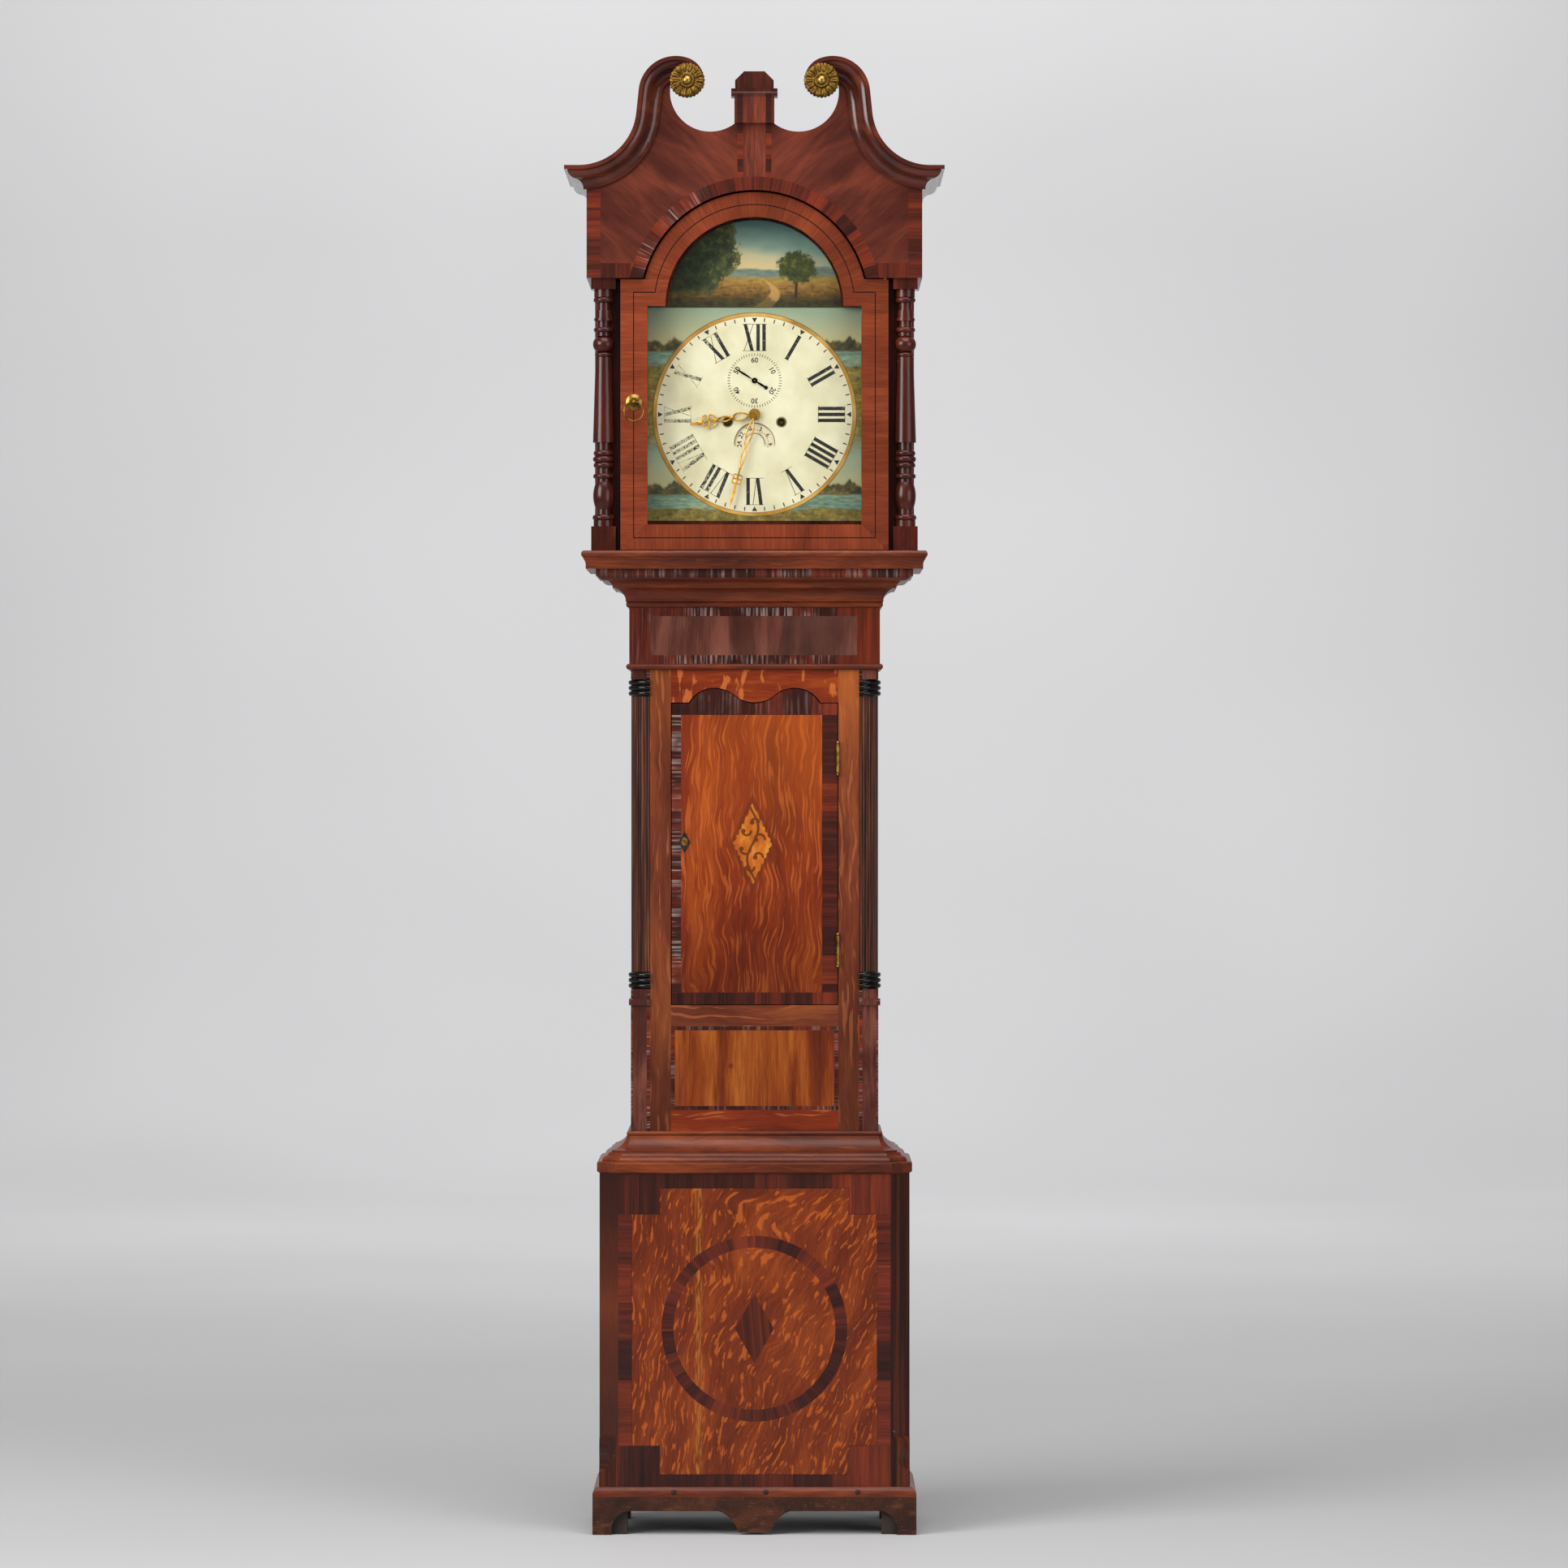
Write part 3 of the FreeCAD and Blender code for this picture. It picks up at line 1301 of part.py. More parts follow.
def turned_side(label, x, depth, z, radius, half_length):
    # A round bar that lies across the clock.
    bar = doc.addObject("Part::Cylinder", label)
    bar.setExpression("Radius", expand(radius))
    bar.setExpression("Height", expand(f"2 * ({half_length})"))
    bar.Placement = FreeCAD.Placement(FreeCAD.Vector(0, 0, 0),
                                      FreeCAD.Rotation(FreeCAD.Vector(0, 1, 0), 90))
    bar.setExpression("Placement.Base.x", expand(f"({x}) - ({half_length})"))
    bar.setExpression("Placement.Base.y", expand(forward(depth)))
    bar.setExpression("Placement.Base.z", expand(z))
    return bar


class Arbor:
    # One turning axis of the movement, at a place across and above the dial centre.
    def __init__(self, x, z):
        self.x = x
        self.z = z

    def towards(self, other):
        return math.atan2(other.z - self.z, other.x - self.x)

    def away(self, reach, degrees):
        # Another axis at a reach and direction from this one.
        angle = math.radians(degrees)
        return Arbor(self.x + reach * math.cos(angle), self.z + reach * math.sin(angle))


def mesh_phase(driver, driven, driver_phase, driver_teeth, driven_teeth):
    # The angle of a driven tooth that puts a gap opposite the driver's tooth.
    line = driver.towards(driven)
    slip = (driver_phase - line) * driver_teeth / driven_teeth
    return line + math.pi + math.pi / driven_teeth - slip


def polar(radius, angle):
    return FreeCAD.Vector(radius * math.cos(angle), 0, radius * math.sin(angle))


def toothed_face(teeth, module, phase, share, head, foot):
    # A wheel blank with tapered teeth, drawn facing the front.
    pitch = teeth * module / 2
    half = share * math.pi / teeth
    points = []
    for index in range(teeth):
        middle = phase + 2 * math.pi * index / teeth
        for height, side in ((-foot, -1), (head, -0.35), (head, 0.35), (-foot, 1)):
            points.append(polar(pitch + height * module, middle + side * half))
    points.append(points[0])
    return Part.Face(Part.makePolygon(points))


def thick(face, d_low, d_high):
    # A face raised between two depths.
    solid = face.extrude(FreeCAD.Vector(0, d_low - d_high, 0))
    solid.translate(FreeCAD.Vector(0, num("half_depth") - d_low, 0))
    return solid


def rod(radius, d_low, d_high):
    # A round bar along the axis.
    place = FreeCAD.Vector(0, num("half_depth") - d_low, 0)
    return Part.makeCylinder(radius, d_high - d_low, place, FreeCAD.Vector(0, -1, 0))


def crossed(blank, rim, d_low, d_high):
    # Cut the web of a wheel away between its rim and its hub, but for four arms.
    hub = num("wheel_hub")
    window = rod(rim, d_low, d_high).cut(rod(hub, d_low, d_high))
    arm_width = num("wheel_arm")
    for turn in (45, 135):
        arm = Part.makeBox(arm_width, d_high - d_low, 2 * rim + 2,
                           FreeCAD.Vector(-arm_width / 2, num("half_depth") - d_high, -rim - 1))
        arm.rotate(FreeCAD.Vector(0, 0, 0), FreeCAD.Vector(0, 1, 0), turn)
        window = window.cut(arm)
    return blank.cut(window)


def wheel(teeth, module, phase, d_low):
    # A thin toothed wheel on four arms.
    d_high = d_low + num("wheel_thickness")
    face = toothed_face(teeth, module, phase, num("tooth_share"), num("tooth_head"), num("tooth_foot"))
    rim = module * (teeth / 2 - num("rim_modules")) - num("rim_width")
    return crossed(thick(face, d_low, d_high), rim, d_low, d_high)


def pinion(leaves, module, phase, d_low, d_high):
    # A long pinion with few leaves.
    face = toothed_face(leaves, module, phase, num("leaf_share"), num("leaf_head"), num("leaf_foot"))
    return thick(face, d_low, d_high)


def pinion_at(leaves, module, phase, wheel_d):
    # A pinion that overlaps the wheel it meshes with on both sides.
    return pinion(leaves, module, phase, wheel_d - num("pinion_before"), wheel_d + num("pinion_after"))


def pivoted(radius):
    # An arbor between the plates, with a thinner pivot in each.
    gap = num("joint_gap")
    shaft = rod(radius, num("plate_in") + gap, num("plate_front - plate") - gap)
    pivots = rod(num("pivot_radius"), num("plate_back") + gap, num("plate_front") - gap)
    return [shaft, pivots]


def turning(label, arbor, shapes, bore=None):
    # One moving piece of the movement, fused from its shapes and set on its arbor.
    solid = shapes[0].multiFuse(shapes[1:]) if len(shapes) > 1 else shapes[0]
    if bore is not None:
        solid = solid.cut(bore)
    piece = doc.addObject("Part::Feature", label)
    piece.Shape = solid
    piece.Placement = FreeCAD.Placement(
        FreeCAD.Vector(arbor.x, 0, num("dial_z") + arbor.z), FreeCAD.Rotation())
    return finish(piece, label)


# The axes of the two trains.
great_module = 2 * math.hypot(num("winding_offset"), num("winding_drop"))
great_module = great_module / (num("great_teeth") + num("pinion_leaves"))
centre = Arbor(0, 0)
going = Arbor(num("winding_offset"), -num("winding_drop"))
escape = Arbor(0, num("seconds_rise"))
pallet = Arbor(0, num("seconds_rise + pallet_rise"))
lower_reach = great_module * (num("centre_teeth") + num("pinion_leaves")) / 2
upper_reach = great_module * (num("third_teeth") + num("escape_leaves")) / 2
third_rise = (lower_reach ** 2 - upper_reach ** 2 + escape.z ** 2) / (2 * escape.z)
third = Arbor(math.sqrt(lower_reach ** 2 - third_rise ** 2), third_rise)
strike = Arbor(-num("winding_offset"), -num("winding_drop"))
pin_reach = great_module * (num("strike_great_teeth") + num("strike_leaves")) / 2
pin_arbor = strike.away(pin_reach, num("pin_bearing"))
rack_reach = great_module * (num("pin_teeth") + num("strike_leaves")) / 2
rack_arbor = pin_arbor.away(rack_reach, num("pallet_bearing"))
warning = rack_arbor.away(num("upper_module * (pallet_teeth + upper_leaves) / 2"), num("warning_bearing"))
fly = warning.away(num("upper_module * (warning_teeth + upper_leaves) / 2"), num("fly_bearing"))
motion = Arbor(0, -num("motion_reach"))
hammer_arbor = Arbor(pin_arbor.x - num("hammer_across"), pin_arbor.z + num("hammer_up"))


def whole(name):
    # A count from the sheet.
    return int(num(name))


def drum(label, arbor):
    # A grooved winding drum with its ratchet, on an arbor that ends in a winding square.
    low = num("barrel_d")
    high = low + num("barrel_length")
    radius = num("barrel_radius")
    end = num("drum_end")
    gap = num("joint_gap")
    body = rod(radius - gap, low + end, high - end)
    ends = [rod(radius + end, low, low + end), rod(radius + end, high - end, high)]
    teeth = toothed_face(whole("ratchet_teeth"), num("ratchet_module"), 0, num("tooth_share"),
                         num("tooth_head"), num("tooth_foot"))
    ratchet = thick(teeth, low - num("wheel_thickness"), low)
    arbor_rod = rod(num("drum_arbor"), num("plate_in") + gap, num("plate_front - plate") - gap)
    length = num("square_length")
    pivots = rod(num("stout_pivot"), num("plate_back") + gap, num("plate_front") + length)
    side = num("stout_pivot * 1.35")
    square = Part.makeBox(side, length, side, FreeCAD.Vector(
        -side / 2, num(forward("plate_front")) - 1.5 * length, -side / 2))
    return turning(label, arbor, [body] + ends + [ratchet, arbor_rod, pivots, square])


def great_wheel(label, arbor, teeth, phase):
    # A great wheel that turns freely on the barrel arbor.
    low = num("great_d")
    blank = wheel(teeth, great_module, phase, low)
    bore = rod(num("drum_arbor + pin_clearance"), low - 1, low + num("wheel_thickness") + 1)
    return turning(label, arbor, [blank], bore)


def going_train():
    drum("going_barrel", going)
    leaves = whole("pinion_leaves")
    great_phase = 0.0
    great_wheel("going_great_wheel", going, whole("great_teeth"), great_phase)
    low = num("great_d")
    phase = mesh_phase(going, centre, great_phase, whole("great_teeth"), leaves)
    wheel_d = num("plate_front - plate") - 9
    shapes = pivoted(num("arbor_radius"))
    shapes.append(pinion_at(leaves, great_module, phase, low))
    shapes.append(wheel(whole("centre_teeth"), great_module, 0.0, wheel_d))
    tip = num("dial_depth + minute_hand_rise") + 4
    shapes.append(rod(num("pivot_radius"), num("plate_front") - 1, tip))
    turning("centre_wheel", centre, shapes)
    phase = mesh_phase(centre, third, 0.0, whole("centre_teeth"), leaves)
    third_d = num("plate_in") + 21
    shapes = pivoted(num("arbor_radius"))
    shapes.append(pinion_at(leaves, great_module, phase, wheel_d))
    shapes.append(wheel(whole("third_teeth"), great_module, 0.0, third_d))
    turning("third_wheel", third, shapes)
    phase = mesh_phase(third, escape, 0.0, whole("third_teeth"), whole("escape_leaves"))
    shapes = pivoted(num("arbor_radius") * 0.7)
    shapes.append(pinion_at(whole("escape_leaves"), great_module, phase, third_d))
    escape_d = num("plate_in") + 3
    blank = thick(escape_face(), escape_d, escape_d + 2)
    shapes.append(crossed(blank, num("escape_radius") * 0.7, escape_d, escape_d + 2))
    shapes.append(rod(num("pivot_radius"), num("plate_front") - 1, num("dial_depth") + 2))
    turning("escape_wheel", escape, shapes)


def escape_face():
    # Thirty raked teeth that come to points.
    teeth = whole("escape_teeth")
    tip = num("escape_radius")
    root = tip * 0.82
    pitch = 2 * math.pi / teeth
    points = []
    for index in range(teeth):
        start = pitch * index
        points += [polar(root, start - 0.36 * pitch), polar(tip, start - 0.03 * pitch),
                   polar(tip, start + 0.03 * pitch), polar(root, start + 0.14 * pitch)]
    points.append(points[0])
    return Part.Face(Part.makePolygon(points))


def strike_train():
    drum("strike_barrel", strike)
    leaves = whole("strike_leaves")
    great_wheel("strike_great_wheel", strike, whole("strike_great_teeth"), 0.0)
    low = num("great_d")
    phase = mesh_phase(strike, pin_arbor, 0.0, whole("strike_great_teeth"), leaves)
    pin_d = num("barrel_d + barrel_length") + 2.5
    shapes = pivoted(num("arbor_radius"))
    shapes.append(pinion_at(leaves, great_module, phase, low))
    shapes.append(wheel(whole("pin_teeth"), great_module, 0.0, pin_d))
    count = whole("lifting_pins")
    for index in range(count):
        pin = rod(num("lifting_pin"), pin_d + 1, pin_d + num("wheel_thickness") + 5)
        pin.translate(polar(num("pin_circle"), 2 * math.pi * index / count))
        shapes.append(pin)
    turning("pin_wheel", pin_arbor, shapes)
    module = num("upper_module")
    phase = mesh_phase(pin_arbor, rack_arbor, 0.0, whole("pin_teeth"), leaves)
    pallet_d = num("plate_in") + 35
    shapes = pivoted(num("arbor_radius"))
    shapes.append(pinion_at(leaves, great_module, phase, pin_d))
    shapes.append(wheel(whole("pallet_teeth"), module, 0.0, pallet_d))
    turning("pallet_wheel", rack_arbor, shapes)
    phase = mesh_phase(rack_arbor, warning, 0.0, whole("pallet_teeth"), whole("upper_leaves"))
    warning_d = num("plate_in") + 43
    shapes = pivoted(num("arbor_radius") * 0.6)
    shapes.append(pinion_at(whole("upper_leaves"), module, phase, pallet_d))
    shapes.append(wheel(whole("warning_teeth"), module, 0.0, warning_d))
    turning("warning_wheel", warning, shapes)
    phase = mesh_phase(warning, fly, 0.0, whole("warning_teeth"), whole("upper_leaves"))
    shapes = pivoted(num("arbor_radius") * 0.6)
    shapes.append(pinion_at(whole("upper_leaves"), module, phase, warning_d))
    vane_d = num("plate_in") + 10
    reach = num("fly_radius")
    length = num("fly_length")
    sheet = num("fly_sheet")
    vane = Part.makeBox(2 * reach, length, sheet,
                        FreeCAD.Vector(-reach, num("half_depth") - vane_d - length, -sheet / 2))
    shapes += [vane, rod(num("arbor_radius"), vane_d + 4, vane_d + length - 4)]
    turning("strike_fly", fly, shapes)


def motion_work():
    # Three wheels before the front plate that bring the hour hand down to a twelfth.
    low = num("plate_front") + 3
    module = num("motion_reach") / num("cannon_teeth")
    teeth = whole("cannon_teeth")
    gap = num("pin_clearance")
    pipe = num("cannon_radius")
    tip = num("dial_depth + minute_hand_rise + hand_sheet")
    hand = hand_shape(num("minute_length"), 7, 1.0)
    hand = thick_hand(hand, num("dial_depth + minute_hand_rise"), -num("minute_turn"))
    shapes = [wheel(teeth, module, 0.0, low), rod(pipe, low, tip), hand]
    turning("minute_hand", centre, shapes, rod(num("pivot_radius") + gap, low - 5, tip + 5))
    phase = mesh_phase(centre, motion, 0.0, teeth, teeth)
    fine = 2 * num("motion_reach") / (num("hour_leaves") + num("hour_teeth"))
    hour_d = low + 7
    shapes = [wheel(teeth, module, phase, low), rod(4, low, low + 4),
              pinion(whole("hour_leaves"), fine, 0.0, low + 2, hour_d + 4)]
    turning("motion_wheel", motion, shapes, rod(num("pivot_radius") + gap, low - 5, low + 30))
    phase = mesh_phase(motion, centre, 0.0, whole("hour_leaves"), whole("hour_teeth"))
    top = num("dial_depth + hour_hand_rise + hand_sheet")
    hand = hand_shape(num("hour_length"), 9, 1.35)
    hand = thick_hand(hand, num("dial_depth + hour_hand_rise"), -num("hour_turn"))
    tube = rod(pipe + gap + num("hour_pipe"), hour_d, top)
    shapes = [wheel(whole("hour_teeth"), fine, phase, hour_d), tube, hand]
    turning("hour_hand", centre, shapes, rod(pipe + gap, hour_d - 5, top + 5))
    low = num("dial_depth") + 0.9
    high = low + num("seconds_sheet")
    tail = num("seconds_tail")
    faces = [lens(2, num("seconds_length"), 1.6), lens(-tail, -2, 1.8), disc_face(3 - tail, 3)]
    shapes = [rod(4.5, low, high)] + [thick(face, low, high) for face in faces]
    for shape in shapes:
        shape.rotate(FreeCAD.Vector(0, 0, 0), FreeCAD.Vector(0, 1, 0), num("seconds_turn"))
    turning("seconds_hand", escape, shapes, rod(num("pivot_radius") + gap, low - 1, high + 1))


def lens(low, high, width):
    # A leaf shape along the hand.
    bottom = FreeCAD.Vector(0, 0, low)
    top = FreeCAD.Vector(0, 0, high)
    middle = (low + high) / 2
    left = Part.Arc(bottom, FreeCAD.Vector(-width, 0, middle), top).toShape()
    right = Part.Arc(top, FreeCAD.Vector(width, 0, middle), bottom).toShape()
    return Part.Face(Part.Wire([left, right]))


def disc_face(height, radius, across=0):
    spot = FreeCAD.Vector(across, 0, height)
    return Part.Face(Part.Wire(Part.makeCircle(radius, spot, FreeCAD.Vector(0, 1, 0))))


def hand_shape(length, boss, weight):
    # A pierced hand: leaf loops, a quatrefoil of four rings and a pointed tip.
    wall = num("hand_wall")
    spot = length * 0.71
    foil = 4.2 * weight
    faces = [disc_face(0, boss)]
    loops = ((boss - 1, length * 0.36, 4.6 * weight), (length * 0.35, length * 0.58, 3 * weight))
    for low, high, width in loops:
        faces.append(lens(low, high, width).cut(lens(low + 3.5, high - 3.5, width - wall)))
    for knob in (length * 0.355, length * 0.59, length * 0.84):
        faces.append(disc_face(knob, 2.4 * weight))
    for turn in (0, 90, 180, 270):
        angle = math.radians(turn + 45)
        across = foil * 1.15 * math.cos(angle)
        height = spot + foil * 1.15 * math.sin(angle)
        faces.append(disc_face(height, foil, across).cut(disc_face(height, foil - wall, across)))
    faces.append(lens(length * 0.57, spot - foil * 0.5, 1.4))
    faces.append(lens(spot + foil * 0.5, length, 1.8 * weight))
    return faces


def thick_hand(faces, depth, degrees):
    # Raise the faces of a hand, join them and turn the hand to its hour.
    solids = [thick(face, depth, depth + num("hand_sheet")) for face in faces]
    hand = solids[0].multiFuse(solids[1:])
    hand.rotate(FreeCAD.Vector(0, 0, 0), FreeCAD.Vector(0, 1, 0), -degrees)
    return hand


def dial():
    # A break-arch sheet on four feet, pierced for the hands, the winding squares and the date.
    half = "dial_width / 2"
    outer = break_arch(half, f"dial_z - {half}", f"dial_z + {half}", "dial_arch_radius")
    low = "dial_z - calendar_drop"
    end = "(mouth_outer - mouth_inner) / 2"
    mouth = [
        ("mouth_outer", low, "+mouth_outer"),
        ("0", f"{low} + mouth_outer", "+mouth_outer"),
        ("-mouth_outer", low, f"+{end} + 0.01"),
        ("-mouth_inner", low, "-mouth_inner"),
        ("0", f"{low} + mouth_inner", "-mouth_inner"),
        ("mouth_inner", low, f"+{end} + 0.01"),
    ]
    holes = [
        (("0", "dial_z"), "cannon_radius + hour_pipe + 2"),
        (("0", "dial_z + seconds_rise"), "pivot_radius + 1"),
        (("winding_offset", "barrel_z"), "winding_hole / 2"),
        (("-winding_offset", "barrel_z"), "winding_hole / 2"),
    ]
    sheet_back = "dial_depth - dial_sheet"
    plate = front("dial_sheet_metal", [outer, mouth], sheet_back, "dial_depth", circles=holes)
    members = [plate]
    for name, x, z in (("upper", "70", "dial_z + 80"), ("lower", "70", "dial_z - 70")):
        foot = turned_out(f"{name}_dial_foot", x, z, [
            ("0", "plate_front"), ("3.5", "plate_front"), ("3.5", f"{sheet_back} - 4"),
            ("6", sheet_back), ("0", sheet_back),
        ])
        members += [foot, mirrored(foot)]
    group("dial", members)
    disc_back = f"{sheet_back} - 2"
    disc = turned_out("calendar_disc", "0", low, [
        ("2.5 + pin_clearance", disc_back),
        ("calendar_radius", disc_back),
        ("calendar_radius", f"{disc_back} + 1.2"),
        ("2.5 + pin_clearance", f"{disc_back} + 1.2"),
    ])
    finish(disc, "calendar_disc")


def movement_frame():
    # Two brass plates held apart by turned pillars, with the studs that carry the motion work.
    low = num("dial_z - plate_drop")
    half = num("plate_width") / 2
    height = num("plate_height")
    clearance = num("pin_clearance")
    fine = num("pivot_radius") + clearance
    stout = num("stout_pivot") + clearance
    axes = [(a, fine) for a in (centre, third, escape, pin_arbor, rack_arbor, warning, fly, hammer_arbor)]
    axes += [(going, stout), (strike, stout)]
    members = []
    for name, depth, pallet_hole in (("back", "plate_back", 6), ("front", "plate_front - plate", fine)):
        d_low = num(depth)
        plate = Part.makeBox(2 * half, num("plate"), height,
                             FreeCAD.Vector(-half, num("half_depth") - d_low - num("plate"), low))
        for arbor, radius in axes + [(pallet, pallet_hole)]:
            hole = rod(radius, d_low - 1, d_low + num("plate") + 1)
            hole.translate(FreeCAD.Vector(arbor.x, 0, num("dial_z") + arbor.z))
            plate = plate.cut(hole)
        piece = doc.addObject("Part::Feature", name + "_plate")
        piece.Shape = plate
        members.append(piece)
    inset = "plate_width / 2 - 12"
    rows = (("low", "dial_z - plate_drop + 12"), ("high", "dial_z - plate_drop + plate_height - 12"))
    for name, z in rows:
        pillar = turned_out(f"{name}_pillar", inset, z, [
            ("0", "plate_in"), ("pillar_radius + 2", "plate_in"), ("pillar_radius + 2", "plate_in + 4"),
            ("pillar_radius", "plate_in + 7"), ("pillar_radius - 1", "plate_in + pillar_length / 2 - 4"),
            ("pillar_radius + 2", "plate_in + pillar_length / 2 - 2", "-4"),
            ("pillar_radius + 2", "plate_in + pillar_length / 2 + 2"),
            ("pillar_radius - 1", "plate_in + pillar_length / 2 + 4"),
            ("pillar_radius", "plate_in + pillar_length - 7"),
            ("pillar_radius + 2", "plate_in + pillar_length - 4"),
            ("pillar_radius + 2", "plate_in + pillar_length"), ("0", "plate_in + pillar_length"),
        ])
        members += [pillar, mirrored(pillar)]
    stud = turned_out("motion_stud", "0", "dial_z - motion_reach", [
        ("0", "plate_front"), ("4", "plate_front"), ("4", "plate_front + 2.5"),
        ("pivot_radius", "plate_front + 2.5"), ("pivot_radius", "plate_front + 17"),
        ("0", "plate_front + 17"),
    ])
    post = turned_out("calendar_post", "0", "dial_z - calendar_drop", [
        ("0", "plate_front"), ("4", "plate_front"), ("4", "dial_depth - dial_sheet - 2 - joint_gap"),
        ("2.5", "dial_depth - dial_sheet - 2 - joint_gap"), ("2.5", "dial_depth - dial_sheet - joint_gap"),
        ("0", "dial_depth - dial_sheet - joint_gap"),
    ])
    group("movement_frame", members + [stud, post])


def pallets_and_pendulum():
    # The anchor with its crutch, the cock that holds the suspension, and the seconds pendulum.
    drop = num("pallet_rise")
    reach = num("escape_radius") + 1.6
    tip = FreeCAD.Vector(reach * math.sin(math.radians(42)), 0, reach * math.cos(math.radians(42)) - drop)
    side = [tip, tip + FreeCAD.Vector(4, 0, 2.2), FreeCAD.Vector(9, 0, 4)]
    inner = FreeCAD.Vector(5.5, 0, -4.5)
    points = [inner] + side
    points += [FreeCAD.Vector(-p.x, 0, p.z) for p in reversed(points)]
    points.append(points[0])
    anchor = thick(Part.Face(Part.makePolygon(points)), num("plate_in") + 2.5, num("plate_in") + 5.5)
    cock_d = num("plate_back - cock_stand")
    gap = num("joint_gap")
    back_end = cock_d + gap
    shapes = [anchor, rod(num("arbor_radius"), cock_d + 3 + gap, num("plate_front - plate") - gap),
              rod(num("pivot_radius"), back_end, num("plate_front") - gap)]
    crutch_d = cock_d + 5
    y_of = num("half_depth")
    length = num("crutch_length")
    shapes.append(Part.makeBox(3, 2, length, FreeCAD.Vector(-1.5, y_of - crutch_d - 2, -length)))
    slot = num("rod_radius") + gap
    foot_back = num("pendulum_depth") - 8
    width = num("crutch_foot")
    foot = Part.makeBox(width, crutch_d + 2 - foot_back, 3,
                        FreeCAD.Vector(-width / 2, y_of - crutch_d - 2, -length))
    hole_front = num("pendulum_depth + rod_radius") + 1
    hole = Part.makeBox(2 * slot, hole_front - foot_back, 5,
                        FreeCAD.Vector(-slot, y_of - hole_front, -length - 1))
    shapes.append(foot.cut(hole))
    turning("anchor_crutch", pallet, shapes)
    height = num("pallet_z")
    half = num("cock_width") / 2
    tall = num("cock_height")
    foot_z = height - num("cock_drop")
    cock = Part.makeBox(2 * half, num("plate"), tall,
                        FreeCAD.Vector(-half, y_of - cock_d - num("plate"), foot_z))
    leg_width = num("cock_leg")
    stand = num("cock_stand - plate")
    for x in (-half, half - leg_width):
        leg = Part.makeBox(leg_width, stand, tall, FreeCAD.Vector(x, y_of - num("plate_back"), foot_z))
        cock = cock.fuse(leg)
    arm_back = num("pendulum_depth") - 6
    arm = Part.makeBox(2 * leg_width, cock_d - arm_back, leg_width,
                       FreeCAD.Vector(-leg_width, y_of - cock_d, foot_z + 20))
    gape = num("suspension_slit")
    slit = Part.makeBox(gape, 12, 20,
                        FreeCAD.Vector(-gape / 2, y_of - num("pendulum_depth") - 5, foot_z + 15))
    cock = cock.fuse(arm).cut(slit)
    pivot = rod(num("pivot_radius + pin_clearance"), cock_d - 5, cock_d + 5)
    pivot.translate(FreeCAD.Vector(0, 0, height))
    piece = doc.addObject("Part::Feature", "back_cock")
    piece.Shape = cock.cut(pivot)
    finish(piece, "back_cock")
    bob_z = "pallet_z - pendulum_length"
    spring = box("suspension_spring", "-0.2", "0.2", "pendulum_depth - 4", "pendulum_depth + 4",
                 "pallet_z - 24", "pallet_z + 20")
    cross = box("suspension_pin", "-5", "5", "pendulum_depth - 4", "pendulum_depth + 4", "pallet_z + 18.4",
                "pallet_z + 22")
    rod_low = f"{bob_z} - bob_radius - 26"
    stem = cylinder("pendulum_stem", "0", "pendulum_depth", rod_low, "pallet_z - 20", "rod_radius")
    carried = joined("pendulum_carried", [spring, cross, stem])
    edge = "bob_thickness * 0.12"
    bob = turned_out("bob_lens", "0", bob_z, [
        ("0", "pendulum_depth - bob_thickness / 2"),
        ("bob_radius * 0.35", "pendulum_depth - bob_thickness / 2", "+bob_radius * 1.9"),
        ("bob_radius", f"pendulum_depth - {edge}"),
        ("bob_radius", f"pendulum_depth + {edge}", "+bob_radius * 1.9"),
        ("bob_radius * 0.35", "pendulum_depth + bob_thickness / 2"),
        ("0", "pendulum_depth + bob_thickness / 2"),
    ])
    through = cylinder("bob_bore", "0", "pendulum_depth", f"{bob_z} - bob_radius - 1",
                       f"{bob_z} + bob_radius + 1", "rod_radius + pin_clearance")
    nut = turned_up("rating_nut", "0", "pendulum_depth", [
        ("rod_radius + pin_clearance", f"{bob_z} - bob_radius - 12"),
        ("9", f"{bob_z} - bob_radius - 12"),
        ("9", f"{bob_z} - bob_radius - 4"),
        ("6", f"{bob_z} - bob_radius - 0.5"),
        ("rod_radius + pin_clearance", f"{bob_z} - bob_radius - 0.5"),
    ])
    group("pendulum", [carried, cut("pendulum_bob", bob, through), nut])


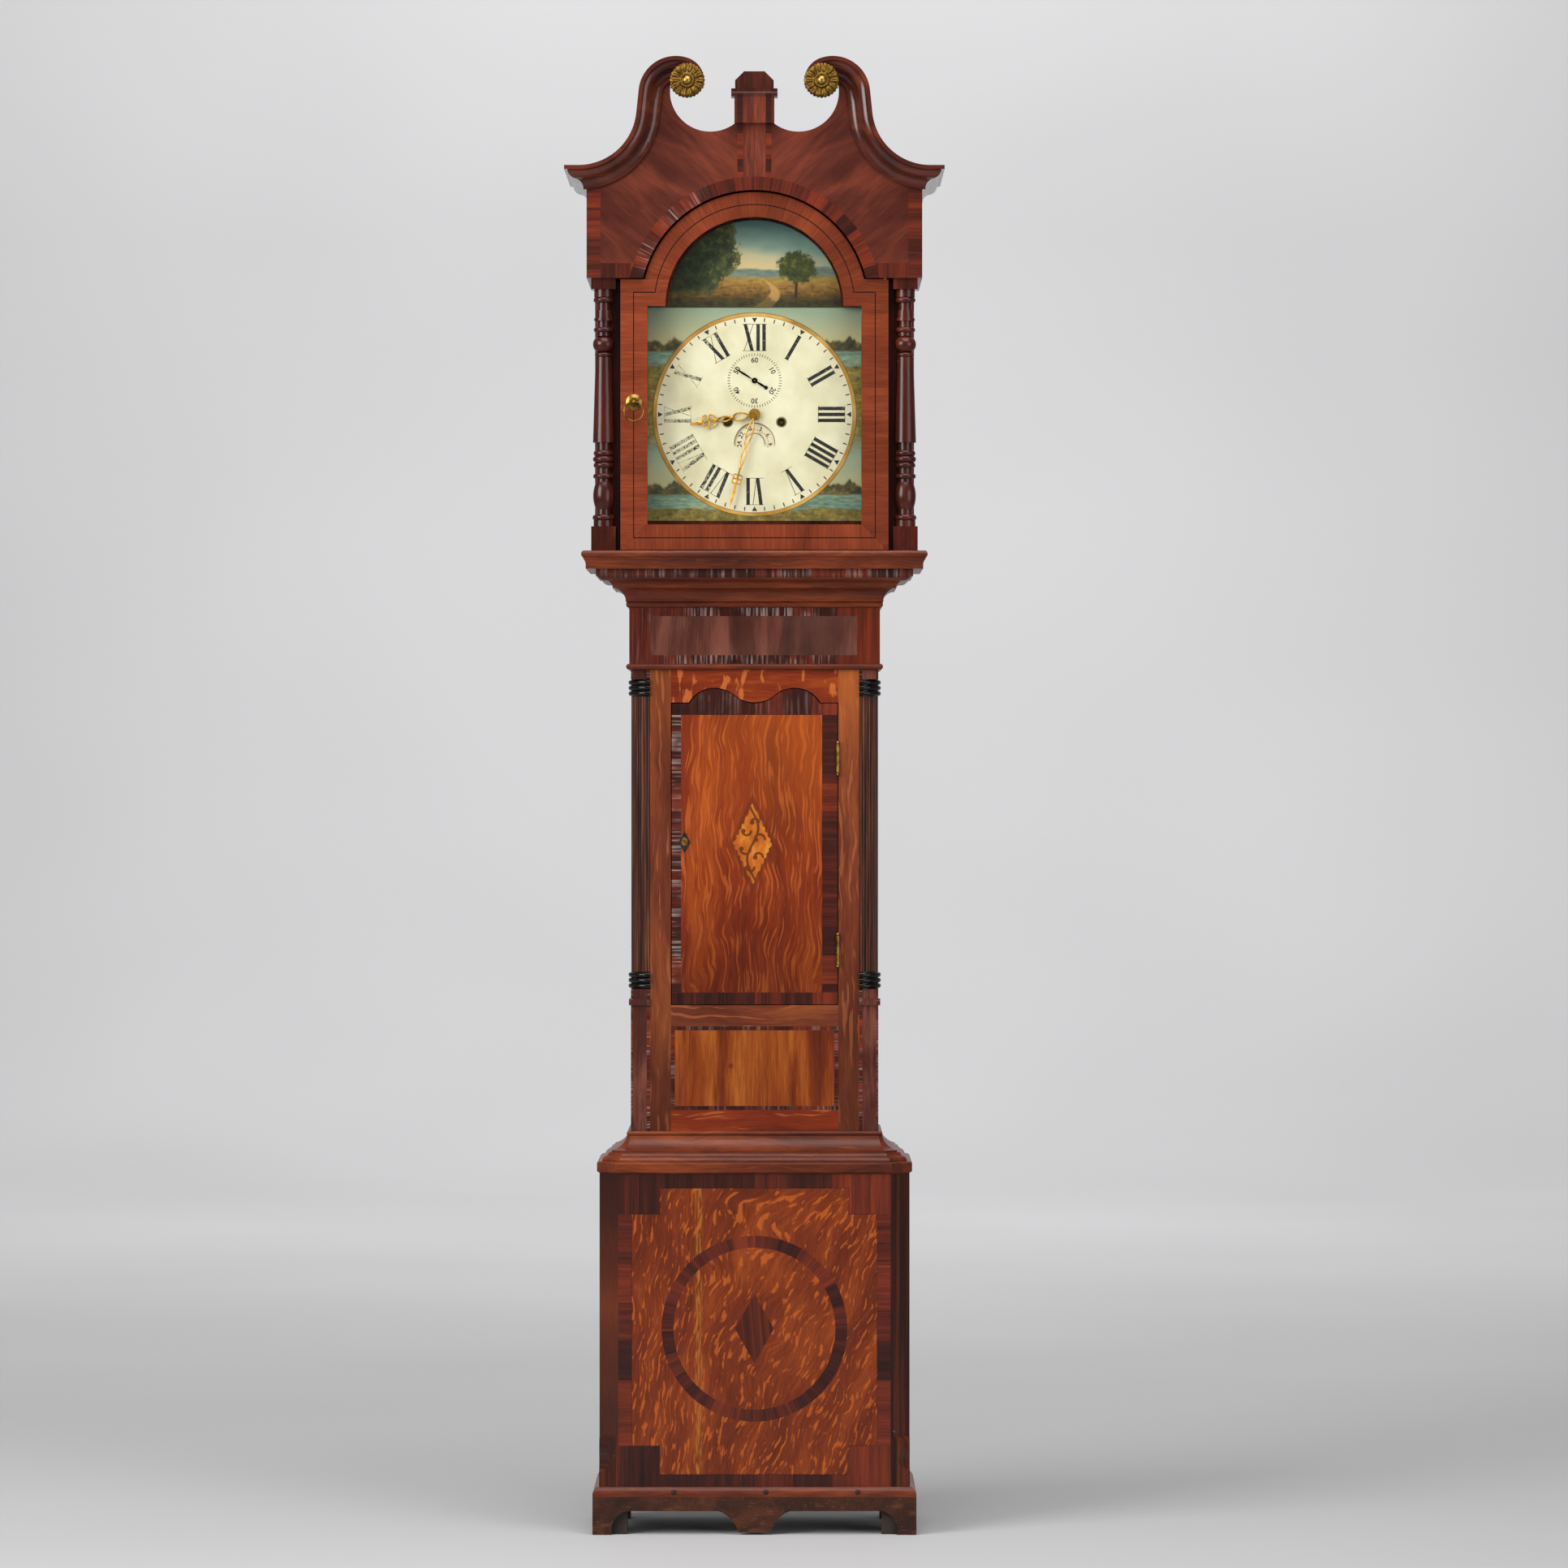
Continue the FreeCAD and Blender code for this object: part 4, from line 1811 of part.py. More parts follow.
def bell_and_hammer():
    # A cast bell on a bracket above the plates, struck by a sprung hammer.
    x = "-bell_offset"
    middle = "barrel_mid"
    low = "dial_z + bell_rise"
    r = "bell_radius"
    bell = turned_up("bell_cup", x, middle, [
        (f"{r} - 3", low), (r, low), (f"{r} - 2", f"{low} + 8", f"+{r} * 0.9"),
        (f"{r} * 0.25", f"{low} + {r} * 0.78"), ("2.5", f"{low} + {r} * 0.8"),
        ("2.5", f"{low} + {r} * 0.72"), (f"{r} * 0.25", f"{low} + {r} * 0.72", f"-{r} * 0.86"),
        (f"{r} - 5", f"{low} + 8"),
    ])
    top = f"{low} + {r} * 0.8"
    upright = box("bell_upright", f"{x} - 4", f"{x} + 4", "plate_back - 4", "plate_back", "dial_z + 60",
                  f"{top} + 6")
    arm = box("bell_arm", f"{x} - 4", f"{x} + 4", "plate_back - 4", f"{middle} + 4", top, f"{top} + 6")
    screw = cylinder("bell_screw", x, middle, f"{low} + {r} * 0.66", f"{top} + 9", "2.4")
    washer = cylinder("bell_nut", x, middle, f"{low} + {r} * 0.62", f"{low} + {r} * 0.715", "5")
    group("bell", [bell, joined("bell_stand", [upright, arm, screw, washer])])
    rise = num("bell_rise") - hammer_arbor.z
    mid = num("barrel_mid")
    y_of = num("half_depth")
    rim_left = -num("bell_offset") - num("bell_radius") - hammer_arbor.x
    head_x = rim_left - 1.5
    length = num("hammer_head")
    radius = num("hammer_radius")
    head = Part.makeCylinder(radius, length, FreeCAD.Vector(head_x - length, y_of - mid, rise + 4),
                             FreeCAD.Vector(1, 0, 0))
    grip = FreeCAD.Vector(head_x - length / 2, 0, rise + 4)
    stem = Part.makeCylinder(1.5, grip.Length, FreeCAD.Vector(0, y_of - mid, 0), grip)
    # The tail reaches towards the lifting pins.
    reach = math.hypot(pin_arbor.x - hammer_arbor.x, pin_arbor.z - hammer_arbor.z) - num("pin_circle") - 2.5
    tail_d = num("barrel_d + barrel_length + wheel_thickness") + 4
    tail = Part.makeBox(reach, 3, 3, FreeCAD.Vector(0, y_of - tail_d - 3, -1.5))
    tail.rotate(FreeCAD.Vector(0, 0, 0), FreeCAD.Vector(0, 1, 0),
                -math.degrees(hammer_arbor.towards(pin_arbor)))
    shapes = pivoted(num("arbor_radius")) + [head, stem, rod(radius, mid - 4, mid + 4), tail]
    turning("hammer", hammer_arbor, shapes)


def weights():
    # Two driving weights, each on a pulley in a double fall of gut line.
    hang = "weight_floor + weight_length"
    yoke_low = f"{hang} + 10"
    for side, barrel_x in (("going", "winding_offset"), ("strike", "-winding_offset")):
        x = f"({barrel_x} - line_reach + line_pitch)"
        mass = turned_up(f"{side}_mass", x, "barrel_mid", [
            ("0", "weight_floor"), ("weight_radius - 5", "weight_floor", "+7"),
            ("weight_radius", "weight_floor + 5"), ("weight_radius", f"{hang} - 5", "+7"),
            ("weight_radius - 5", hang), ("4", hang), ("3", yoke_low), ("0", yoke_low),
        ])
        cheeks = []
        for name, d_low in (("front", "barrel_mid + 4"), ("back", "barrel_mid - 6")):
            cheeks.append(box(f"{side}_{name}_cheek", f"{x} - 6", f"{x} + 6", d_low, f"{d_low} + 2", yoke_low,
                              "pulley_z + 8"))
        cheeks.append(box(f"{side}_yoke", f"{x} - 6", f"{x} + 6", "barrel_mid - 6", "barrel_mid + 6",
                          yoke_low, f"{yoke_low} + 3"))
        cheeks.append(turned_out(f"{side}_pulley_pin", x, "pulley_z", [
            ("0", "barrel_mid - 7"), ("2", "barrel_mid - 7"), ("2", "barrel_mid + 7"),
            ("0", "barrel_mid + 7"),
        ]))
        groove = "pulley_radius - joint_gap"
        lip = "pulley_radius + 3"
        pulley = turned_out(f"{side}_pulley", x, "pulley_z", [
            ("2 + pin_clearance", "barrel_mid - 3"), (lip, "barrel_mid - 3"), (lip, "barrel_mid - 2"),
            (groove, "barrel_mid - line_radius"), (groove, "barrel_mid + line_radius"),
            (lip, "barrel_mid + 2"), (lip, "barrel_mid + 3"), ("2 + pin_clearance", "barrel_mid + 3"),
        ])
        group(f"{side}_weight", [mass, joined(f"{side}_pulley_yoke", cheeks), pulley])
        gut_line(side, num(barrel_x))


def gut_line(side, barrel_x):
    # The line leaves the left of the barrel, goes under the pulley and up to the seatboard.
    y_mid = num(forward("barrel_mid"))
    outer = barrel_x - num("line_reach")
    middle = outer + num("line_pitch")
    inner = middle + num("line_pitch")
    low = num("pulley_z")
    top = FreeCAD.Vector(outer, y_mid, num("barrel_z"))
    turn = FreeCAD.Vector(outer, y_mid, low)
    under = FreeCAD.Vector(middle, y_mid, low - num("line_pitch"))
    back = FreeCAD.Vector(inner, y_mid, low)
    end = FreeCAD.Vector(inner, y_mid, num("seat_z"))
    route = Part.Wire([Part.LineSegment(top, turn).toShape(), Part.Arc(turn, under, back).toShape(),
                       Part.LineSegment(back, end).toShape()])
    circle = Part.Wire(Part.makeCircle(num("line_radius"), top, FreeCAD.Vector(0, 0, -1)))
    piece = doc.addObject("Part::Feature", f"{side}_line")
    piece.Shape = route.makePipeShell([circle], True, True)
    finish(piece, f"{side}_line")
    section = math.pi * num("line_radius") ** 2
    if abs(piece.Shape.Volume / (section * route.Length) - 1) > 0.01:
        raise ValueError("the gut line is not whole")
    print(side, "line length", round(route.Length), "mm")


def write_nodes():
    # Check every object, then save each node as its own solid file.
    doc.recompute()
    for obj in doc.Objects:
        if "Invalid" in obj.State or "Error" in obj.State:
            raise RuntimeError(f"{obj.Label} failed: {obj.State}")
    for obj in nodes:
        if obj.Shape.isNull() or not obj.Shape.isValid():
            raise RuntimeError(f"{obj.Label} has no valid shape")
    os.makedirs("parts", exist_ok=True)
    for obj in nodes:
        obj.Shape.exportStep(f"parts/{obj.Label}.step")
    print(f"{len(nodes)} nodes, {sum(len(o.Shape.Solids) for o in nodes)} solids")


plinth()
base()
base_mouldings()
trunk()
trunk_corners()
trunk_head()
trunk_door()
hood_case()
hood_columns()
pediment()
swan_necks()
rosettes()
hood_door()
going_train()
strike_train()
motion_work()
dial()
movement_frame()
pallets_and_pendulum()
bell_and_hammer()
weights()
write_nodes()
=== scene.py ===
import math

import bmesh
import bpy
from mathutils import Matrix, Vector


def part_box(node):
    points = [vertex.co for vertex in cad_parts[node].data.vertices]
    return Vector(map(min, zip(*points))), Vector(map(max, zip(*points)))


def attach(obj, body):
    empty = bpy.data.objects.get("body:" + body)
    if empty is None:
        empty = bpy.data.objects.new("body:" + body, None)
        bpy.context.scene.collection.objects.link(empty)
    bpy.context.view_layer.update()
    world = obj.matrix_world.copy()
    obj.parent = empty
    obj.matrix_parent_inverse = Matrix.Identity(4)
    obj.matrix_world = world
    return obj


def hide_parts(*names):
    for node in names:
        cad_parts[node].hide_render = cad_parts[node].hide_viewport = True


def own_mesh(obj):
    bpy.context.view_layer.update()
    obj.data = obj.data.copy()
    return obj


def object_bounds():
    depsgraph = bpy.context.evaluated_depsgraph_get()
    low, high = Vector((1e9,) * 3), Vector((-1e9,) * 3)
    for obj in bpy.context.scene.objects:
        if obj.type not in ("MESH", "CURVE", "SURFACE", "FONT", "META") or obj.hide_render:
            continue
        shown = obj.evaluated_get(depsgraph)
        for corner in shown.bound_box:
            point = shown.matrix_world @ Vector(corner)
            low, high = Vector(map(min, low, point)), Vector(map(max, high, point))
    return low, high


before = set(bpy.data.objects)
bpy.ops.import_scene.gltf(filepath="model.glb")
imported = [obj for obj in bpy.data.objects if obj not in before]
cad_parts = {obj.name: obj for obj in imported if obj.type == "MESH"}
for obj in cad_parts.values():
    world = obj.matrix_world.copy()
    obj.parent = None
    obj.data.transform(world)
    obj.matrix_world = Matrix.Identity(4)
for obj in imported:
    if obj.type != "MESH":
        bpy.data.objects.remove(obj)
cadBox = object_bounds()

scene = bpy.context.scene
dialMiddle = 1.746  # height of the hands' centre
archMiddle = 1.914  # height of the centre that the arches of dial, door and veneer share
paintLift = 0.00006  # how far painted marks stand off their sheet


def tint(code):  # a screen colour such as "6b3018" as linear light
    parts = [int(code[i:i + 2], 16) / 255 for i in (0, 2, 4)]
    return tuple(p / 12.92 if p <= 0.04045 else ((p + 0.055) / 1.055) ** 2.4 for p in parts) + (1.0,)


class Field:
    # a number that changes over a surface, held as a node socket
    def __init__(self, web, socket):
        self.web = web
        self.socket = socket

    def __add__(self, other):
        return self.web.maths("ADD", self, other)

    def __sub__(self, other):
        return self.web.maths("SUBTRACT", self, other)

    def __rsub__(self, other):
        return self.web.maths("SUBTRACT", other, self)

    def __mul__(self, other):
        return self.web.maths("MULTIPLY", self, other)

    def __truediv__(self, other):
        return self.web.maths("DIVIDE", self, other)

    def __abs__(self):
        return self.web.maths("ABSOLUTE", self)

    __radd__ = __add__
    __rmul__ = __mul__

    def most(self, other):
        return self.web.maths("MAXIMUM", self, other)

    def sine(self):
        return self.web.maths("SINE", self)


class Web:
    # one material's nodes, written as sums over a point of the piece
    def __init__(self, name):
        self.material = bpy.data.materials.new(name)
        self.material.use_nodes = True
        self.nodes = self.material.node_tree.nodes
        self.links = self.material.node_tree.links
        self.shader = self.nodes["Principled BSDF"]
        coordinate = self.nodes.new("ShaderNodeTexCoord")
        split = self.nodes.new("ShaderNodeSeparateXYZ")
        self.links.new(coordinate.outputs["Object"], split.inputs[0])
        self.x, self.y, self.z = [Field(self, split.outputs[i]) for i in range(3)]

    def plug(self, socket, value):
        value = value.socket if isinstance(value, Field) else value
        if isinstance(value, bpy.types.NodeSocket):
            self.links.new(value, socket)
        else:
            socket.default_value = tint(value) if isinstance(value, str) else value

    def maths(self, kind, first, second=0.0):
        node = self.nodes.new("ShaderNodeMath")
        node.operation = kind
        self.plug(node.inputs[0], first)
        self.plug(node.inputs[1], second)
        return Field(self, node.outputs[0])

    def reach(self, across, up):  # distance from the middle
        return self.maths("SQRT", across * across + up * up)

    def turn(self, across, up):  # angle round the middle
        return self.maths("ARCTAN2", up, across)

    def noise(self, spot, detail=3.0, rough=0.55, twist=0.0):
        place = self.nodes.new("ShaderNodeCombineXYZ")
        for socket, value in zip(place.inputs, spot):
            self.plug(socket, value)
        node = self.nodes.new("ShaderNodeTexNoise")
        self.links.new(place.outputs[0], node.inputs["Vector"])
        for name, value in (("Scale", 1.0), ("Detail", detail), ("Roughness", rough), ("Distortion", twist)):
            node.inputs[name].default_value = value
        return Field(self, node.outputs["Fac"])

    def mottle(self, often, detail=3.0, rough=0.55):  # the same noise in every direction
        return self.noise((self.x * often, self.y * often, self.z * often), detail, rough)

    def chance(self, value):  # one random number for each whole number
        node = self.nodes.new("ShaderNodeTexWhiteNoise")
        node.noise_dimensions = "1D"
        self.plug(node.inputs["W"], self.maths("FLOOR", value))
        return Field(self, node.outputs["Value"])

    def step(self, value, low, high):  # 0 below low, 1 above high
        node = self.nodes.new("ShaderNodeMapRange")
        node.interpolation_type = "SMOOTHSTEP"
        self.plug(node.inputs["Value"], value)
        node.inputs["From Min"].default_value = low
        node.inputs["From Max"].default_value = high
        return Field(self, node.outputs["Result"])

    def over(self, value, at, soft=0.0002):
        return self.step(value, at - soft, at + soft)

    def below(self, value, at, soft=0.0003):
        return 1 - self.over(value, at, soft)

    def within(self, value, low, high, soft=0.0003):
        return self.over(value, low, soft) * self.below(value, high, soft)

    def near(self, value, at, half, soft=0.0003):  # a line as wide as twice half
        return self.below(abs(value - at), half, soft)

    def ramp(self, value, stops):
        node = self.nodes.new("ShaderNodeValToRGB")
        self.plug(node.inputs[0], value)
        points = node.color_ramp.elements
        while len(points) < len(stops):
            points.new(0.5)
        for point, (place, code) in zip(points, stops):
            point.position = place
            point.color = tint(code)
        return node.outputs[0]

    def blend(self, share, first, second, kind="MIX"):
        node = self.nodes.new("ShaderNodeMix")
        node.data_type = "RGBA"
        node.blend_type = kind
        for index, value in ((0, share), (6, first), (7, second)):
            self.plug(node.inputs[index], value)
        return node.outputs[2]

    def shade(self, colour, amount):  # darken by a field, 0 black to 1 unchanged
        grey = self.nodes.new("ShaderNodeCombineColor")
        for socket in grey.inputs:
            self.plug(socket, amount)
        return self.blend(1.0, colour, grey.outputs[0], "MULTIPLY")

    def finish(self, colour, rough, height=None, depth=0.0006, strength=0.6, **fixed):
        self.plug(self.shader.inputs["Base Color"], colour)
        self.plug(self.shader.inputs["Roughness"], rough)
        for name, value in fixed.items():
            self.shader.inputs[name.replace("_", " ")].default_value = value
        if height is not None:
            bump = self.nodes.new("ShaderNodeBump")
            bump.inputs["Strength"].default_value = strength
            bump.inputs["Distance"].default_value = depth
            self.plug(bump.inputs["Height"], height)
            self.links.new(bump.outputs[0], self.shader.inputs["Normal"])
        return self.material


def surface(name):  # a new finish and the three places of a point on it
    web = Web(name)
    return web, web.x, web.y, web.z


def dress(material, *names):  # give CAD nodes a finish
    for name in names:
        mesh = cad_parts[name].data
        mesh.materials.clear()
        mesh.materials.append(material)


polish = {"Coat_Weight": 0.06, "Coat_Roughness": 0.15, "Specular_IOR_Level": 0.2}

rosewoodStops = [(0.22, "1e0d0a"), (0.42, "381610"), (0.58, "582114"), (0.78, "7c3018")]
friezeStops = [(0.22, "28120e"), (0.5, "4a261d"), (0.78, "744236")]
mahoganyStops = [(0.22, "2f130e"), (0.48, "53241a"), (0.76, "803c28")]
mouldingStops = [(0.22, "30120a"), (0.5, "5a2411"), (0.78, "853d18")]
doorStops = [(0.2, "4e1e11"), (0.5, "76331c"), (0.8, "9c4b2a")]
oakStops = [(0.22, "43180a"), (0.5, "6b290f"), (0.78, "944418")]
stileStops = [(0.22, "401a10"), (0.5, "632d1a"), (0.78, "884724")]
doorOakStops = [(0.22, "4c170b"), (0.5, "74290f"), (0.78, "9c4817")]
darkAndShadeStops = [(0.22, "200b08"), (0.5, "3d160f"), (0.78, "652816")]
neckStops = [(0.22, "260f0b"), (0.5, "461c13"), (0.78, "6b2f1e")]
skirtStops = [(0.22, "1d0f0a"), (0.5, "371d12"), (0.78, "532b18")]
pineStops = [(0.3, "5e3f24"), (0.5, "7c5731"), (0.7, "946c40")]
dirtyStops = [(0.3, "150d08"), (0.5, "22150c"), (0.7, "302013")]

# rays of the oak: how close they lie along and across, their sway, and how many and how bright they are
boardRays = {"spread": (13, 150), "sway": 0.03, "cut": 0.6, "share": 0.4}
trimRays = dict(boardRays, share=0.1)
panelRays = {"spread": (38, 200), "sway": 0.05, "cut": 0.57, "share": 0.58}
doorRays = {"spread": (17, 250), "sway": 0.05, "cut": 0.55, "share": 0.34}
splashRays = {"spread": (75, 24), "sway": 0.03, "cut": 0.585, "share": 0.5}


def pores(web, along, across, deep):  # hair-fine lines that run with the grain
    return web.noise((along * 40, across * 1100, deep * 1100), 2.0, 0.6)


def grain(web, along, across, deep):
    return web.noise((along * 18, across * 300, deep * 300), 3.0, 0.65)


def mahogany(web, along, across, deep, stops, figure=1.0, streaks=0.5):
    # broad cloudy tone under fine lines
    cloud = web.noise((along * 5, across * 18, deep * 18), 4.0, 0.55, 0.8)
    line = pores(web, along, across, deep)
    streak = grain(web, along, across, deep)
    tone = (cloud - 0.5) * figure + (streak - 0.5) * streaks + (line - 0.5) * 0.2 + 0.5
    return web.ramp(tone, stops), line


def oak(web, along, across, deep, stops, rayCode, ray):
    # quarter-sawn board: fine grain under short bright rays that wander
    drift = web.noise((along * 9, across * 9, deep * 9), 2.0) - 0.5
    slid = across + drift * ray["sway"]
    line = pores(web, along, slid, deep)
    streak = grain(web, along, slid, deep)
    cloud = web.noise((along * 4, slid * 18, deep * 18), 4.0)
    tone = cloud + (streak - 0.5) * 0.45 + (line - 0.5) * 0.2
    long, wide = ray["spread"]
    level = web.noise((along * long, slid * wide, deep * wide), 2.0, 0.5)
    patch = web.noise((along * 12, across * 20, deep * 20), 2.0)
    fleck = web.step(level + (patch - 0.5) * 0.25, ray["cut"], ray["cut"] + 0.06)
    colour = web.blend(fleck * ray["share"], web.ramp(tone, stops), rayCode)
    return colour, line, fleck


def crossband(web, along, across, liftAndHighlight=0.0, strip=0.045):
    # short strips of rosewood laid across a border, each of its own tone, with raised crests where it has lifted
    # that carry a painted highlight
    number = along / strip
    own = web.chance(number)
    streak = web.noise((along * 330, across * 9, own * 40), 3.0, 0.6)
    broad = web.noise((along * 75, across * 5, own * 40), 2.0)
    colour = web.ramp(own * 0.3 + broad * 0.45 + streak * 0.4 - 0.08, rosewoodStops)
    joint = web.step(abs(web.maths("FRACT", number) - 0.5), 0.488, 0.498)
    colour = web.shade(colour, 1 - joint * 0.45)
    wave = web.noise((along * 250, across * 11, 0.0), 1.5, 0.5)
    spell = web.step(web.noise((along * 22, across * 22, 0.0), 2.0), 0.36, 0.6)
    crestAndHighlight = web.step(wave, 0.46, 0.7) * liftAndHighlight * spell
    # painted highlight: the crests are lightened towards the pale grey-pink of a reflection
    colour = web.blend(crestAndHighlight * 0.45, colour, "b39a92")
    return colour, crestAndHighlight + streak * 0.12


def bordered(web, upright, liftAndHighlight=0.0, strip=0.045):
    # crossbanding round a panel: it runs up where upright is 1, and along elsewhere
    run = web.z * upright + web.x * (1 - upright)
    return crossband(web, run, web.x + web.z - run, liftAndHighlight, strip)


def polished(web, colour, line, base, height, depth, strength, coat=polish["Coat_Weight"]):
    # a rubbed finish, a little smeared, over open pores
    swing = 0.16
    rough = web.mottle(14) * swing + line * 0.06 + (base - swing / 2)
    return web.finish(colour, rough, height, depth, strength, **dict(polish, Coat_Weight=coat))


def basePanel():
    spec = {"wide": (0.1910, 0.1375, 0.4980), "tall": (0.1475, 0.0930, 0.5385), "middle": 0.320,
            "ring": (0.1260, 0.1446), "lozenge": (0.0305, 0.0540), "sap": (-0.085, 0.0048),
            "ringRun": 0.135, "lean": (0.16, 0.41), "leanFrom": (-0.12, 0.16), "seam": 0.0012}
    web, x, y, z = surface("inlaidBase")
    side = abs(x)

    def inField(soft):  # two oblongs over each other leave a step at each corner
        shapes = [web.below(side, half, soft) * web.within(z, low, high, soft)
                  for half, low, high in (spec["wide"], spec["tall"])]
        return shapes[0].most(shapes[1])
    upright = web.within(z, *spec["wide"][1:]) * web.over(side, spec["tall"][0])
    band, ripple = bordered(web, upright, 0.0, 0.06)
    # the rays lean more towards the right-hand side
    lean = spec["lean"][0] + web.step(x, *spec["leanFrom"]) * (spec["lean"][1] - spec["lean"][0])
    colour, line, fleck = oak(web, z + x * lean, x - z * lean, y, oakStops, "ba5c1e", panelRays)
    colour = web.shade(colour, 0.76 + web.step(pores(web, z, x, y), 0.3, 0.6) * 0.3)
    # a broken streak of sapwood
    sway = web.noise((z * 9, 0.0, 0.0), 2.0) * 0.004
    sapAt, sapHalf = spec["sap"]
    sap = 1 - web.step(abs(x + sway - sapAt), sapHalf * 0.5, sapHalf * 1.7)
    broken = web.step(web.noise((z * 40, x * 420, 0.0), 3.0), 0.4, 0.66)
    colour = web.blend(sap * broken * 0.65, colour, "a86e26")
    up = z - spec["middle"]
    radius = web.reach(x, up)
    hoop = crossband(web, web.turn(x, up) * spec["ringRun"], radius, 0.0, 0.035)[0]
    colour = web.blend(web.within(radius, *spec["ring"], 0.0004), colour, hoop)
    lozenge = side / spec["lozenge"][0] + abs(up) / spec["lozenge"][1]
    stripe = web.noise((x * 150 + z * 12, z * 2, 0.0), 2.0)
    dark = web.ramp(stripe, [(0.3, "2b110b"), (0.5, "451a0e"), (0.7, "622812")])
    colour = web.blend(1 - web.step(lozenge, 0.975, 1.02), colour, dark)
    colour = web.blend(inField(0.0003), band, colour)
    soft = inField(spec["seam"])
    seam = soft * (1 - soft) * 4
    colour = web.shade(colour, 1 - seam * 0.45)
    height = line * 0.6 + fleck * 0.3 - seam + ripple * 0.3
    return polished(web, colour, line, 0.34, height, 0.0003, 0.5)


def trunkDoor():
    spec = {"field": (-0.1150, 0.1055, 0.8420, 1.2760), "liftedAndHighlit": (0.108, 0.114),
            "paintedHighlight": (0.98, 1.28), "foot": (0.84, 1.06), "board": (0.006, 0.008),
            "lozenge": (-0.003, 1.0745, 0.0315, 0.0665),
            "curls": ((0.06, 0.5, 0.09, 1), (-0.14, 0.3, 0.1, -1), (0.17, 0.1, 0.12, 1),
                      (-0.17, -0.12, 0.12, -1), (0.14, -0.32, 0.1, 1), (-0.05, -0.55, 0.09, -1))}
    web, x, y, z = surface("inlaidDoor")
    left, right, low, high = spec["field"]
    upright = web.within(z, low, high)
    field = web.within(x, left, right) * upright
    # the veneer has lifted all down the lock side, and in places over the head, with a painted highlight on its
    # crests
    liftedAndHighlit = web.step(x * -1, *spec["liftedAndHighlit"]) * upright + web.step(z, high, high + 0.002) * 0.25
    band, ripple = bordered(web, upright, liftedAndHighlit)
    # the figure hangs in long curves that gather towards the foot of the door
    bow = web.maths("POWER", abs(x) * 6, 1.5) * (1.3 - z) * 0.35
    colour, line = oak(web, z + bow, x, y, doorOakStops, "c5662a", doorRays)[:2]
    # a painted highlight towards the top right of the door
    paintedHighlight = web.step(z, *spec["paintedHighlight"]) * web.step(x, -0.16, 0.12)
    colour = web.blend(paintedHighlight * 0.3, colour, "b85c1c")
    colour = web.shade(colour, 0.6 + web.step(z, *spec["foot"]) * 0.4)
    cx, cz, halfWide, halfTall = spec["lozenge"]
    across, up = (x - cx) / halfWide, (z - cz) / halfTall
    lozenge = abs(across) + abs(up)
    scallop = (web.turn(across, up * 1.6) * 22).sine() * 0.035
    # a scroll of one waving stem, with a curl off each bend that ends in a bud
    slim = across * halfWide / halfTall
    mark = 1 - web.step(abs(slim - (up * 4.2).sine() * 0.13), 0.02, 0.04)
    for curlX, curlZ, curlSize, facing in spec["curls"]:
        outX, outZ = slim - curlX, up - curlZ
        away = web.reach(outX, outZ)
        arc = (1 - web.step(abs(away - curlSize), 0.018, 0.036)) * web.step(outZ * facing, -0.03, 0.0)
        bud = 1 - web.step(web.reach(outX + curlSize * 0.8, outZ), 0.045, 0.065)
        mark = mark.most(arc).most(bud)
    leaf = web.ramp(web.noise((across * 2, up * 2, 0.0), 2.0),
                    [(0.3, "8c4716"), (0.5, "ab5a1c"), (0.7, "c4772a")])
    leaf = web.blend(mark * 0.9, leaf, "54260e")
    colour = web.blend((1 - web.step(lozenge, 1.16, 1.20)) * 0.7, colour, "5f2710")
    colour = web.blend(1 - web.step(lozenge + scallop, 0.93, 0.97), colour, leaf)
    colour = web.blend(field, band, colour)
    # the inside face is bare board
    inside = web.step(y, *[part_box("trunk_door")[0].y + deep for deep in spec["board"]])
    colour = web.blend(inside, colour, oak(web, z, x, y, stileStops, "a8603a", boardRays)[0])
    height = line * 0.4 + ripple * (1 - field) * (1 - inside) * 1.6
    return polished(web, colour, line, 0.27, height, 0.0008, 0.7)


def trunkFrame():
    spec = {"stile": 0.131, "topRail": 1.27, "lowRail": 0.66, "paintedHighlight": (1.16, 1.35), "dark": (0.66, 0.95)}
    web, x, y, z = surface("oakFrame")
    stile = web.over(abs(x), spec["stile"])
    along = z * stile + x * (1 - stile)
    colour, line, fleck = oak(web, along, x + z - along, y, stileStops, "a8603a", boardRays)
    rail = oak(web, x, z, y, doorOakStops, "cc7238", splashRays)[0]
    foot = oak(web, x, z, y, doorOakStops, "b86a3a", boardRays)[0]
    upper = web.step(z, spec["topRail"], spec["topRail"] + 0.0004)
    lower = 1 - web.step(z, spec["lowRail"] - 0.0004, spec["lowRail"])
    colour = web.blend(upper * (1 - stile), colour, rail)
    colour = web.blend(lower * (1 - stile), colour, foot)
    # a painted highlight near the top of the right-hand stile
    paintedHighlight = stile * web.step(z, *spec["paintedHighlight"]) * web.step(x, -0.4, 0.2)
    colour = web.blend(paintedHighlight * 0.4, colour, "b86224")
    colour = web.shade(colour, 1 - stile * (1 - web.step(z, *spec["dark"])) * 0.4)
    return polished(web, colour, line, 0.3, line * 0.6 + fleck * 0.3, 0.0003, 0.5)


